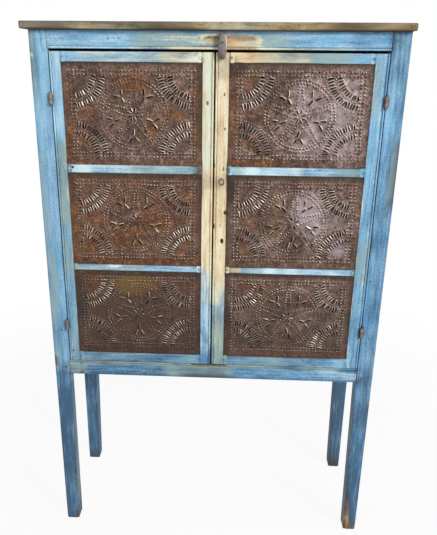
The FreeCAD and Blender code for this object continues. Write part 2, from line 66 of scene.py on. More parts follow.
def new_object(name, data):
    """Object in the scene for a mesh, a lamp or a camera."""
    result = bpy.data.objects.new(name, data)
    bpy.context.scene.collection.objects.link(result)
    return result


# ---- Shader building -----------------------------------------------------------------

def rgb(red, green, blue):
    """Colour written as on a screen, from 0 to 255, as the linear one a shader takes."""
    def linear(value):
        value /= 255
        return value / 12.92 if value <= 0.04045 else ((value + 0.055) / 1.055) ** 2.4
    return (linear(red), linear(green), linear(blue), 1)


class Tree:
    """Nodes of a material or of the world."""

    def __init__(self, owner):
        owner.use_nodes = True
        self.links = owner.node_tree.links
        self.nodes = owner.node_tree.nodes

    def plug(self, socket, value):
        if isinstance(value, bpy.types.NodeSocket):
            self.links.new(value, socket)
        else:
            socket.default_value = value

    def add(self, kind, inputs=(), **settings):
        """New node; inputs holds values or sockets in order, or by name or number."""
        node = self.nodes.new(kind)
        for key, value in settings.items():
            setattr(node, key, value)
        for key, value in inputs.items() if isinstance(inputs, dict) else enumerate(inputs):
            self.plug(node.inputs[key], value)
        return node

    def math(self, operation, a, b=0.0, *more):
        return self.add("ShaderNodeMath", (a, b, *more), operation=operation).outputs[0]

    def seen_directly(self):
        """1 for what the camera, a reflection or glass shows, 0 for what lights the object."""
        path = self.add("ShaderNodeLightPath").outputs
        seen = self.math("MAXIMUM", path["Is Camera Ray"], path["Is Glossy Ray"])
        return self.math("MAXIMUM", seen, path["Is Transmission Ray"])


class Shader(Tree):
    """A material under construction, with the colour it has so far. Its patterns lie in
    the object's own coordinates. With a grain they follow it, and the attribute "own"
    moves them, so that each piece has its own part of the pattern. Colours are written
    as on a screen, from 0 to 255."""

    def __init__(self, name, grain=None):
        self.material = bpy.data.materials.new(name)
        super().__init__(self.material)
        self.surface = self.nodes["Principled BSDF"]
        self.place = self.add("ShaderNodeTexCoord").outputs["Object"]
        self.pattern = self.place
        self.grain = grain
        if grain:
            own = self.add("ShaderNodeAttribute", attribute_name="own")
            self.pattern = self.vector("ADD", self.place, own.outputs["Vector"])

    def vector(self, operation, *inputs):
        node = self.add("ShaderNodeVectorMath", inputs, operation=operation)
        number = operation in ("LENGTH", "DISTANCE", "DOT_PRODUCT")
        return node.outputs["Value" if number else "Vector"]

    def parts(self, vector):
        return self.add("ShaderNodeSeparateXYZ", [vector]).outputs[:]

    def attribute(self, name):
        """The three numbers that an attribute of the mesh holds."""
        return self.parts(self.add("ShaderNodeAttribute", attribute_name=name).outputs["Vector"])

    def total(self, base, *terms):
        """base plus each (value, weight) about the value's middle of 0.5."""
        for value, weight in terms:
            base = self.math("MULTIPLY_ADD", value, weight, self.math("SUBTRACT", base, weight / 2))
        return base

    def step(self, value, low, high):
        """0 at low and 1 at high, with a smooth rise between them."""
        return self.add("ShaderNodeMapRange", (value, low, high),
                        interpolation_type="SMOOTHSTEP").outputs["Result"]

    def where(self, low, high, base, *terms):
        """The step of a total."""
        return self.step(self.total(base, *terms), low, high)

    def mix(self, factor, a, b, blend="MIX"):
        return self.add("ShaderNodeMix", {0: factor, 6: a, 7: b},
                        data_type="RGBA", blend_type=blend).outputs[2]

    def ramp(self, stops, base, *terms):
        """Colours picked by a total; each stop is position, red, green, blue."""
        node = self.add("ShaderNodeValToRGB", [self.total(base, *terms)])
        elements = node.color_ramp.elements
        while len(elements) < len(stops):
            elements.new(0.5)
        for element, (position, *colour) in zip(elements, stops):
            element.position = position
            element.color = rgb(*colour)
        return node.outputs["Color"]

    def cover(self, mask, colour, strength=1.0):
        """Lays a colour over the one so far, as far as mask and strength say."""
        if strength != 1:
            mask = self.math("MULTIPLY", mask, strength)
        other = rgb(*colour) if isinstance(colour, tuple) else colour
        self.colour = self.mix(mask, self.colour, other)

    def tint(self, mask, factors, strength=1.0):
        """Multiplies the colour so far by factors for its red, green and blue light."""
        if strength != 1:
            mask = self.math("MULTIPLY", mask, strength)
        self.colour = self.mix(mask, self.colour, (*factors, 1), "MULTIPLY")

    def along_grain(self, factor):
        """Factors that draw a pattern out along the grain."""
        return [factor if axis == self.grain else 1 for axis in "xyz"]

    def noise(self, scale, detail, roughness=0.5, stretch=1, shift=(0, 0, 0), distortion=0.0):
        vector = self.pattern
        if stretch != 1 or any(shift):
            vector = self.vector("MULTIPLY_ADD", vector, self.along_grain(stretch), shift)
        return self.add("ShaderNodeTexNoise", {
            "Vector": vector, "Scale": scale, "Detail": detail, "Roughness": roughness,
            "Distortion": distortion}).outputs["Fac"]

    def away_from(self, x, y, z, squeeze):
        """Distance to a place in millimetres, counted less along the squeezed axes."""
        shift = [-a * MM * b for a, b in zip((x, y, z), squeeze)]
        return self.vector("LENGTH", self.vector("MULTIPLY_ADD", self.place, squeeze, shift))

    def mark_at(self, x, z, radius, squeeze=1.0):
        """1 in a small mark on the front, radius and place in millimetres."""
        far = self.away_from(x, FRONT / MM, z, (1, 1, squeeze))
        return self.step(far, radius * 1.25 * MM, radius * 0.75 * MM)

    def crack(self, x0, z0, x1, z1, width):
        """1 along a short straight crack on the front, in millimetres."""
        run = Vector((x1 - x0, 0, z1 - z0)) * MM
        away = self.vector("SUBTRACT", self.place, (x0 * MM, FRONT, z0 * MM))
        along = self.vector("DOT_PRODUCT", away, run / run.length_squared)
        share = self.add("ShaderNodeClamp", [along]).outputs[0]
        foot = self.add("ShaderNodeVectorMath", {0: run, "Scale": share}, operation="SCALE")
        far = self.vector("DISTANCE", away, foot.outputs[0])
        return self.step(far, width * MM, width * 0.3 * MM)

    def complete(self, height, distance, strength, **surface):
        """Gives the surface the colour so far, a relief and the values passed by name."""
        bump = self.add("ShaderNodeBump", {"Height": height, "Distance": distance,
                                           "Strength": strength})
        self.plug(self.surface.inputs["Base Color"], self.colour)
        self.plug(self.surface.inputs["Normal"], bump.outputs["Normal"])
        for name, value in surface.items():
            socket = {"specular": "Specular IOR Level"}.get(name, name.title())
            self.plug(self.surface.inputs[socket], value)
        return self.material


# ---- Camera, floor and light ---------------------------------------------------------

WHITE = (1, 1, 1, 1)
FADE = (0.9, 2.2)             # metres from the middle over which the floor turns white
SHADOWED = 0.08               # how much of the lit floor shows through the white inside


def place_camera():
    """A little right of the middle, at the height of the top rail, looking down."""
    place = (0.0462, -1.7733, 1.4179)
    yaw, pitch, roll = -0.047, -0.349, 0.009
    focal_pixels = 607.35
    width, height = 437, 535
    centre = (201.45, 282.88)
    ahead = Vector((math.sin(yaw) * math.cos(pitch), math.cos(yaw) * math.cos(pitch),
                    math.sin(pitch)))
    level = Vector((math.cos(yaw), -math.sin(yaw), 0))
    above = level.cross(ahead)
    right = math.cos(roll) * level + math.sin(roll) * above
    up = -math.sin(roll) * level + math.cos(roll) * above
    data = bpy.data.cameras.new("camera")
    camera = new_object("camera", data)
    camera.matrix_world = Matrix([*zip(right, up, -ahead, place), (0, 0, 0, 1)])
    data.sensor_width = 36
    data.lens = focal_pixels * data.sensor_width / height
    data.shift_x = (width / 2 - centre[0]) / height
    data.shift_y = (centre[1] - height / 2) / height
    bpy.context.scene.camera = camera


def light_studio():
    """White surroundings, a soft lamp high on the right and a weak one on the left."""
    world = bpy.data.worlds.new("studio")
    bpy.context.scene.world = world
    tree = Tree(world)
    room = tree.nodes["Background"]
    room.inputs["Color"].default_value = (0.93, 0.96, 1, 1)
    room.inputs["Strength"].default_value = 0.42
    white = tree.add("ShaderNodeBackground", {"Color": WHITE, "Strength": 1})
    mix = tree.add("ShaderNodeMixShader",
                   (tree.seen_directly(), room.outputs[0], white.outputs[0]))
    tree.plug(tree.nodes["World Output"].inputs["Surface"], mix.outputs[0])
    for name, place, size, power in (("lamp_right", (4.3, -4.4, 3.5), 1.4, 320),
                                     ("lamp_left", (-3.4, -3.6, 2.4), 2.2, 26)):
        data = bpy.data.lights.new(name, "AREA")
        data.size = size
        data.energy = power
        lamp = new_object(name, data)
        lamp.location = place
        aim = Vector((0, FRONT, 1.0)) - lamp.location
        lamp.rotation_euler = aim.to_track_quat("-Z", "Y").to_euler()


def lay_floor():
    """Plain white floor that keeps a light shadow round the feet."""
    mesh = bpy.data.meshes.new("floor")
    reach = 30.0
    corners = [(-reach, -reach, 0), (reach, -reach, 0), (reach, reach, 0), (-reach, reach, 0)]
    mesh.from_pydata(corners, [], [(0, 1, 2, 3)])
    floor = new_object("floor", mesh)
    shader = Shader("floor")
    shader.surface.inputs["Base Color"].default_value = (0.8, 0.8, 0.8, 1)
    shader.surface.inputs["Roughness"].default_value = 0.9
    beyond = shader.step(shader.vector("LENGTH", shader.place), *FADE)
    share = shader.math("ADD", shader.math("MULTIPLY", beyond, SHADOWED), 1 - SHADOWED)
    glow = shader.add("ShaderNodeEmission")
    mix = shader.add("ShaderNodeMixShader", (
        shader.math("MULTIPLY", shader.seen_directly(), share),
        shader.surface.outputs[0], glow.outputs[0]))
    shader.plug(shader.nodes["Material Output"].inputs["Surface"], mix.outputs[0])
    mesh.materials.append(shader.material)


# ---- Wood and paint ------------------------------------------------------------------

# How far patterns are drawn out along the grain: fibres, growth rings and clouds
STRETCH, SLENDER, MILD = 0.05, 0.09, 0.3

# Knots in the bare boards, by grain: (x, y, z, radius) in millimetres
KNOTS = {"x": [(-262, 40, 1509, 13), (148, -96, 1509, 9), (331, 92, 1509, 15), (22, 150, 1509, 8),
               (-404, -120, 1509, 7)],
         "z": [(-338, 196, 1196, 12), (-150, 196, 792, 15), (64, 196, 1304, 9), (118, 196, 890, 7),
               (302, 196, 702, 13), (371, 196, 1068, 9), (-52, 196, 1120, 6)]}


def growth(shader, knots):
    """Growth rings of a plain sawn board, bent round its knots, and the knots."""
    field = shader.noise(4, 2, 0.45, SLENDER)
    core = 0.0
    for x, y, z, radius in knots:
        far = shader.away_from(x, y, z, shader.along_grain(0.45))
        pull = shader.step(far, radius * 5 * MM, 0.0)
        field = shader.math("ADD", field, shader.math("MULTIPLY", pull, 0.07))
        core = shader.math("MAXIMUM", core, shader.step(far, radius * 1.1 * MM, radius * 0.5 * MM))
    wave = shader.math("SINE", shader.math("MULTIPLY", field, 330))
    return shader.math("ADD", shader.math("MULTIPLY", wave, 0.5), 0.5), core


def old_pine(shader, light, dark, knot, knots=()):
    """Gives a shader the colour of bare softwood, with growth rings, fibres and fine
    dark pores. The result is the wood's height and its fibres."""
    rings, core = growth(shader, knots)
    fibre = shader.noise(420, 5, 0.65, STRETCH)
    pores = shader.noise(1500, 2, 0.5, STRETCH, (3, 3, 3))
    streak = shader.noise(60, 4, 0.6, STRETCH, (2, 6, 1))
    cloud = shader.noise(9, 4, 0.6, MILD)
    shader.colour = shader.ramp([(0.15, *knot), (0.42, *dark), (0.8, *light)],
                                0.55, (rings, 0.32), (fibre, 0.7), (streak, 0.7), (cloud, 0.7))
    if knots:
        shader.cover(core, knot, 0.85)
    return shader.total(0.5, (fibre, 0.8), (pores, 0.4), (rings, 0.15)), fibre


BLUES = [(0.0, 62, 91, 118), (0.27, 98, 142, 175), (0.5, 129, 172, 202), (0.75, 154, 195, 219),
         (1.0, 182, 216, 232)]
VIOLETS = [(0.0, 48, 42, 41), (0.3, 92, 82, 84), (0.55, 124, 113, 114), (0.9, 160, 150, 146)]
# Small marks on the front, by grain: knocks, filled nail holes, a knot, and round the
# hinges dark edges that are dirt with painted contact shadow. Each is (x, z, radius,
# squeeze, darkness), in millimetres.
SPECKS = {"z": [(-18, 1320, 3.4, 0.6, 0.75), (25, 1341, 2.2, 0.5, 0.8), (28, 1257, 2.6, 0.7, 0.75),
                (26, 1155, 2.4, 0.4, 0.7), (33, 1038, 4.6, 0.75, 0.95), (20, 1002, 2.6, 1, 0.5),
                (-438, 679, 3.0, 1, 0.5), (437, 852, 3.0, 1, 0.55), (-405, 614, 3.2, 1, 0.6),
                (24, 1115, 2.8, 1, 0.6), (16, 1124, 2.0, 1, 0.5), (10, 1064, 1.6, 1, 0.5),
                (25.5, 959, 4.4, 0.62, 1.0), (2, 1000, 3.4, 0.4, 0.95), (1, 1163, 3.0, 0.3, 0.9),
                (-418, 1326, 7.4, 0.42, 0.7), (-418, 697, 7.4, 0.42, 0.65),
                (428, 1326, 7.4, 0.42, 0.75), (428, 697, 7.6, 0.42, 0.9)],
          "x": [(-373, 1153, 3.0, 0.8, 1.0), (-265, 1470, 2.6, 0.8, 0.45),
                (-239, 1471, 3.0, 1.4, 0.45), (-40, 1473, 3.0, 1, 0.45)]}
# A knot and two peg ends, by grain: (x, z, radius, darkness), in millimetres
RINGS = {"z": [(21, 1120, 8.0, 0.9), (-31, 1421, 4.6, 0.5)], "x": [(385, 1427, 4.8, 0.7)]}
# Cracks and open joints, by grain: (x, z, x, z, half width), in millimetres
CRACKS = {"z": [(-434, 1489, -433, 1455, 0.9), (-433, 1455, -427, 1438, 0.8),
                (429, 1491, 429, 1447, 1.2), (-419, 1491, -419, 1447, 0.8),
                (429, 581, 429, 537, 1.2), (-419, 581, -419, 537, 0.8)],
          "x": [(387, 876, 391, 864, 1.3), (-378, 611, -381, 583, 1.9), (-36, 612, -35, 584, 1.3),
                (428, 1491, 428, 1447, 1.2), (428, 581, 428, 537, 1.4)]}
TIN_DIRT = 4 * MM             # how far from a tin its rust and dirt reach
# The edges of these tins have dirt beside them, by grain: (axis, doors, levels)
DIRTY_EDGES = {"x": (2, ["left"], ["lower", "middle", "upper"]),
               "z": (0, ["left", "right"], ["lower"])}


def beside_tins(shader):
    """1 at the edges of the tins, where dirt and rust gather, fading out beside them."""
    if shader.grain not in DIRTY_EDGES:
        return 0.0
    axis, doors, levels = DIRTY_EDGES[shader.grain]
    place = shader.parts(shader.place)[axis]
    result = 0.0
    for edge in sorted(corner[axis] for door in doors for level in levels
                       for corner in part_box(f"{door}_door_{level}_tin")):
        away = shader.math("ABSOLUTE", shader.math("SUBTRACT", place, edge))
        result = shader.math("MAXIMUM", result, shader.step(away, TIN_DIRT, 0.0))
    return result


def painted_wood(name, grain, paints):
    """Milk paint worn through a pale undercoat to the wood. Attribute "paint" holds how
    far it is worn to the undercoat and to the wood and how dirty it is, with painted
    shade in the same layer, and "look" its lightness, which also carries painted shade,
    its green and how chalky it is."""
    shader = Shader(name, grain)
    cream_wear, wood_wear, grime = shader.attribute("paint")
    tone, green, chalky = shader.attribute("look")
    grain_height, fibre = old_pine(shader, (206, 168, 124), (158, 120, 84), (92, 66, 46))
    wood = shader.colour
    streak = shader.noise(150, 5, 0.62, STRETCH, (7, 1, 4))
    patchy = shader.noise(46, 6, 0.62, MILD, (2, 5, 8))
    cloud = shader.noise(9, 3)
    chip = shader.noise(230, 4, 0.65)
    speck = shader.noise(620, 2, 0.6)
    drift = shader.noise(24, 4, 0.6, MILD, (3, 8, 5))
    tint = shader.noise(60, 3, 0.6, MILD, (9, 2, 1))

    shader.colour = shader.ramp(paints, tone, (cloud, 0.4), (streak, 0.75), (patchy, 0.65),
                                (fibre, 0.4), (chip, 0.75))
    shader.tint(shader.step(drift, 0.5, 0.68), (0.74, 0.95, 1))
    shader.tint(shader.step(tint, 0.5, 0.7), (1, 0.97, 0.84))
    greener = shader.where(0.2, 0.95, green, (patchy, 0.9), (cloud, 0.5), (streak, 0.6))
    shader.cover(greener, (144, 166, 162), 0.85)
    shader.cover(shader.where(0.15, 1.1, chalky, (patchy, 1.1), (streak, 0.9), (chip, 0.6)),
                 (208, 227, 232))

    cream = shader.ramp([(0.08, 172, 138, 98), (0.36, 214, 192, 152), (0.6, 234, 219, 186),
                         (0.88, 246, 241, 220)],
                        tone, (streak, 0.9), (patchy, 0.9), (fibre, 0.6), (chip, 0.4))
    paled = shader.ramp([(0.2, 178, 186, 166), (0.45, 214, 214, 186), (0.6, 212, 222, 206),
                         (0.85, 238, 238, 220)],
                        tone, (streak, 0.8), (patchy, 0.9), (tint, 0.8))
    cream_here = shader.where(0.22, 0.8, cream_wear, (streak, 0.8), (patchy, 0.9), (chip, 0.4))
    wood_here = shader.where(0.44, 0.6, wood_wear, (fibre, 0.4), (patchy, 0.65), (chip, 0.5))
    shader.cover(cream_here, shader.mix(greener, cream, paled))
    shader.cover(wood_here, wood)

    # dirt beside the tins, and the grime layer, which also holds painted shade
    edge_dirt = shader.math("MULTIPLY", beside_tins(shader), 0.62)
    dirt = shader.math("ADD", grime, edge_dirt)
    shader.cover(shader.where(0.25, 1.0, dirt, (streak, 0.45), (chip, 0.45), (speck, 0.2)),
                 (60, 52, 44), 0.88)
    shader.cover(shader.where(0.24, 0.12, 0.5, (speck, 0.8), (chip, 0.7)), (74, 72, 70), 0.5)

    marks = [(shader.mark_at(x, z, radius, squeeze), darkness)
             for x, z, radius, squeeze, darkness in SPECKS.get(grain, ())]
    marks += [(shader.crack(*line), 0.8) for line in CRACKS.get(grain, ())]
    # knocks, nail holes and cracks, and round the hinges dirt with painted contact shadow
    hollows_and_shade = 0.0
    for mark, darkness in marks:
        hollows_and_shade = shader.math("MAXIMUM", hollows_and_shade, shader.math("MULTIPLY", mark, darkness))
    if marks:
        shader.cover(hollows_and_shade, (26, 24, 24))
    for x, z, radius, darkness in RINGS.get(grain, ()):
        ring = shader.math("SUBTRACT", shader.mark_at(x, z, radius, 0.8),
                           shader.mark_at(x, z, radius * 0.55, 0.8))
        shader.cover(ring, (74, 70, 66), darkness)

    coats = shader.math("ADD", shader.math("MULTIPLY", cream_here, -0.3),
                        shader.math("MULTIPLY", wood_here, -0.35))
    coats = shader.math("SUBTRACT", coats, hollows_and_shade)
    height = shader.math("ADD", shader.total(coats, (chip, 0.3), (streak, 0.5)), grain_height)
    return shader.complete(
        height, 0.8 * MM, 0.8, specular=0.3,
        roughness=shader.total(0.62, (patchy, 0.2), (chip, 0.15), (streak, 0.1)))


def bare_wood(name, grain):
    """Unpainted softwood. Attribute "paint" holds its nail stains and its dirt, and "look"
    how light, how grey and how pale it is."""
    shader = Shader(name, grain)
    nail_stain, _, grime = shader.attribute("paint")
    tone, grey, pale = shader.attribute("look")
    height, fibre = old_pine(shader, (214, 178, 132), (180, 140, 98), (112, 78, 52),
                             KNOTS.get(grain, ()))
    patchy = shader.noise(30, 6, 0.65, MILD, (4, 2, 6))
    chip = shader.noise(260, 4, 0.65)
    shader.tint(shader.step(tone, 1.0, 0.0), (0.42, 0.37, 0.34))
    shader.cover(shader.where(0.2, 1.0, grey, (patchy, 0.9), (fibre, 0.4)), (150, 140, 122), 0.7)
    shader.cover(shader.where(0.25, 1.0, pale, (patchy, 0.9), (fibre, 0.6)), (222, 196, 156), 0.6)
    shader.cover(shader.where(0.2, 0.95, grime, (patchy, 0.9), (chip, 0.4)), (96, 78, 60))
    shader.cover(shader.where(0.2, 0.9, nail_stain, (chip, 0.4)), (54, 40, 32))
    return shader.complete(height, 0.6 * MM, 0.8, specular=0.3,
                           roughness=shader.total(0.78, (patchy, 0.15), (fibre, 0.2)))


def weathered_wood(name):
    """The bare top: grey and olive on the left, browner on the right, with pale, greenish
    and dark blotches. Attribute "paint" holds its nail stains, how pale its edge is and
    its dirt with the painted shade under its front edge, and "look" how brown it is."""
    shader = Shader(name, "x")
    nail_stain, pale_edge, grime = shader.attribute("paint")
    brown = shader.attribute("look")[0]
    rings, core = growth(shader, KNOTS["x"])
    fibre = shader.noise(420, 5, 0.65, STRETCH)
    streak = shader.noise(130, 5, 0.6, STRETCH, (5, 1, 2))
    patchy = shader.noise(55, 5, 0.62, 0.45, (4, 2, 6))
    blotch = shader.noise(13, 5, 0.6, 0.5, (8, 3, 1))
    cloud = shader.noise(7, 3, 0.55, 0.6, (1, 9, 3))
    chip = shader.noise(260, 4, 0.65)
    weave = shader.total(0.42, (rings, 0.3), (streak, 0.9), (patchy, 0.9), (fibre, 0.7), (chip, 0.5))
    shader.colour = shader.ramp([(0.1, 84, 78, 66), (0.4, 124, 118, 100), (0.65, 148, 142, 120),
                                 (0.95, 186, 178, 152)], weave)
    golden = shader.ramp([(0.1, 104, 84, 58), (0.4, 152, 128, 88), (0.65, 178, 156, 112),
                          (0.95, 212, 194, 154)], weave)
    shader.cover(shader.where(0.15, 0.85, brown, (blotch, 1.1), (cloud, 0.6)), golden)
    shader.cover(shader.step(blotch, 0.58, 0.74), (178, 146, 122), 0.6)
    shader.cover(shader.step(cloud, 0.44, 0.3), (126, 138, 128), 0.7)
    shader.cover(shader.where(0.35, 0.9, pale_edge, (patchy, 0.8), (chip, 0.4)),
                 (204, 192, 160), 0.75)
    # dirt, with the painted shade under the front edge
    shader.cover(shader.where(0.3, 0.9, grime, (streak, 0.8), (patchy, 0.5), (chip, 0.3)),
                 (74, 62, 50), 0.8)
    shader.cover(core, (84, 62, 44), 0.8)
    shader.cover(shader.where(0.2, 0.9, nail_stain, (chip, 0.4)), (50, 42, 36))
    return shader.complete(shader.total(0.5, (fibre, 0.7), (streak, 0.5), (chip, 0.3)),
                           0.8 * MM, 0.9, specular=0.25,
                           roughness=shader.total(0.8, (patchy, 0.15), (fibre, 0.15)))


# ---- Tin and iron --------------------------------------------------------------------

def aged_tin():
    """Tinplate gone brown, rusty in places, with burrs rubbed bright, a painted highlight
    on the side of each burr toward the light and painted shade on the other side.
    Attribute "tin" holds how near a burr's lip a point is, on which side of it, and its
    painted grey sheen, a reflection laid into the colour, and "stain" its rust, its ochre
    bloom and its dirt, which also carries painted shade."""
    shader = Shader("aged_tin")
    burr, side, sheen = shader.attribute("tin")
    rust, ochre, dirt = shader.attribute("stain")
    cloud = shader.noise(15, 4, 0.6, distortion=0.4)
    patchy = shader.noise(60, 5, 0.65, shift=(3, 1, 7))
    fine = shader.noise(420, 4, 0.7)
    grit = shader.noise(1300, 2, 0.6)
    mottle = shader.noise(150, 4, 0.6)
    tint = shader.noise(34, 4, 0.6, shift=(6, 3, 2))
    shader.colour = shader.ramp([(0.12, 36, 25, 20), (0.4, 84, 63, 52), (0.65, 114, 91, 80),
                                 (0.93, 164, 143, 132)],
                                0.5, (cloud, 0.7), (patchy, 1.1), (mottle, 1.25), (fine, 0.8))
    shader.tint(shader.step(tint, 0.5, 0.66), (1, 0.84, 0.98))
    shader.tint(shader.step(tint, 0.46, 0.32), (0.94, 1, 0.66))
    rusty = shader.where(0.1, 1.0, rust, (patchy, 0.8), (cloud, 0.5), (mottle, 0.5))
    shader.cover(rusty, shader.ramp([(0.15, 34, 18, 8), (0.5, 91, 52, 22), (0.9, 164, 112, 64)],
                                    0.48, (fine, 0.9), (mottle, 1.2), (patchy, 1.2)))
    shader.cover(shader.where(0.25, 0.9, ochre, (patchy, 0.7), (cloud, 0.5)), (124, 92, 34), 0.8)
    # painted grey sheen: a reflection laid into the colour
    shader.cover(shader.where(0.2, 1.0, sheen, (cloud, 0.6), (patchy, 1.0), (mottle, 0.7)),
                 (168, 151, 154), 0.85)
    # dirt together with painted shade
    soot_and_shade = shader.where(0.25, 0.95, dirt, (patchy, 0.9), (mottle, 0.6), (fine, 0.5))
    shader.tint(soot_and_shade, (0.2, 0.165, 0.115), 0.88)

    # painted shade on the side of each burr away from the light
    burr_shade = shader.math("MULTIPLY", burr, shader.math("MULTIPLY", side, -1))
    shader.cover(shader.step(burr_shade, 0.01, 0.3), (30, 22, 18), 0.75)
    # painted highlight on the side of each burr toward the light, partly the rubbed shine of its lip
    lit = shader.math("MULTIPLY", burr, shader.math("ADD", shader.math("MULTIPLY", side, 0.8), 0.3))
    clean = shader.math("SUBTRACT", 0.86, shader.math("MULTIPLY", soot_and_shade, 0.5))
    shader.cover(shader.where(0.05, 0.8, lit, (fine, 0.3), (grit, 0.15)), (226, 212, 194), clean)

    dull = shader.math("ADD", shader.math("MULTIPLY", rusty, 0.3), shader.math("MULTIPLY", soot_and_shade, 0.2))
    return shader.complete(shader.total(0.5, (fine, 0.6), (grit, 0.3), (patchy, 0.5)),
                           0.4 * MM, 0.6, metallic=shader.math("SUBTRACT", 0.5, dull),
                           roughness=shader.total(0.46, (patchy, 0.25), (fine, 0.2)))


# Foot of each hinge on the front, darkened as painted shade at the barrel's lower end: (x, z) in
# millimetres
HINGE_FEET = [(-419, 681), (-419, 1309), (428, 684), (430, 1312)]


def old_iron(name, dark, middle, light, painted, metallic):
    """Browned iron with rust, and remains of paint where painted is above 0."""
    shader = Shader(name)
    cloud = shader.noise(150, 4, 0.6)
    fine = shader.noise(500, 4, 0.7)
    shader.colour = shader.ramp([(0.15, *dark), (0.5, *middle), (0.85, *light)],
                                0.5, (cloud, 1.2), (fine, 1.1))
    paint = shader.where(0.5, 0.65, painted, (cloud, 1.0), (fine, 0.6))
    shader.cover(paint, (172, 178, 174))
    # painted shade at the lower end of each hinge barrel
    for x, z in HINGE_FEET:
        shader.cover(shader.mark_at(x, z, 9.5), (52, 44, 40), 0.8)
    covered = shader.math("MULTIPLY", paint, metallic)
    return shader.complete(shader.total(0.5, (fine, 0.8), (cloud, 0.4)), 0.4 * MM, 0.7,
                           metallic=shader.math("SUBTRACT", metallic, covered),
                           roughness=shader.total(0.55, (fine, 0.3), (cloud, 0.2)))


# ---- Where the paint is worn ---------------------------------------------------------

def wear_and_shade(x=(), z=(), **layers):
    """Patches of wear on the front, and some of painted shade, in millimetres. Each is left,
    right, bottom, top, soft edge and amount. Patches that share left and right have them
    in x, and those that share bottom and top in z. The layers are cream undercoat, bare
    wood, grime with painted shade, and the paint's tone, green and chalk."""
    return [(layer, *x, *edges, *z, soft, amount)
            for layer, patches in layers.items() for *edges, soft, amount in patches]


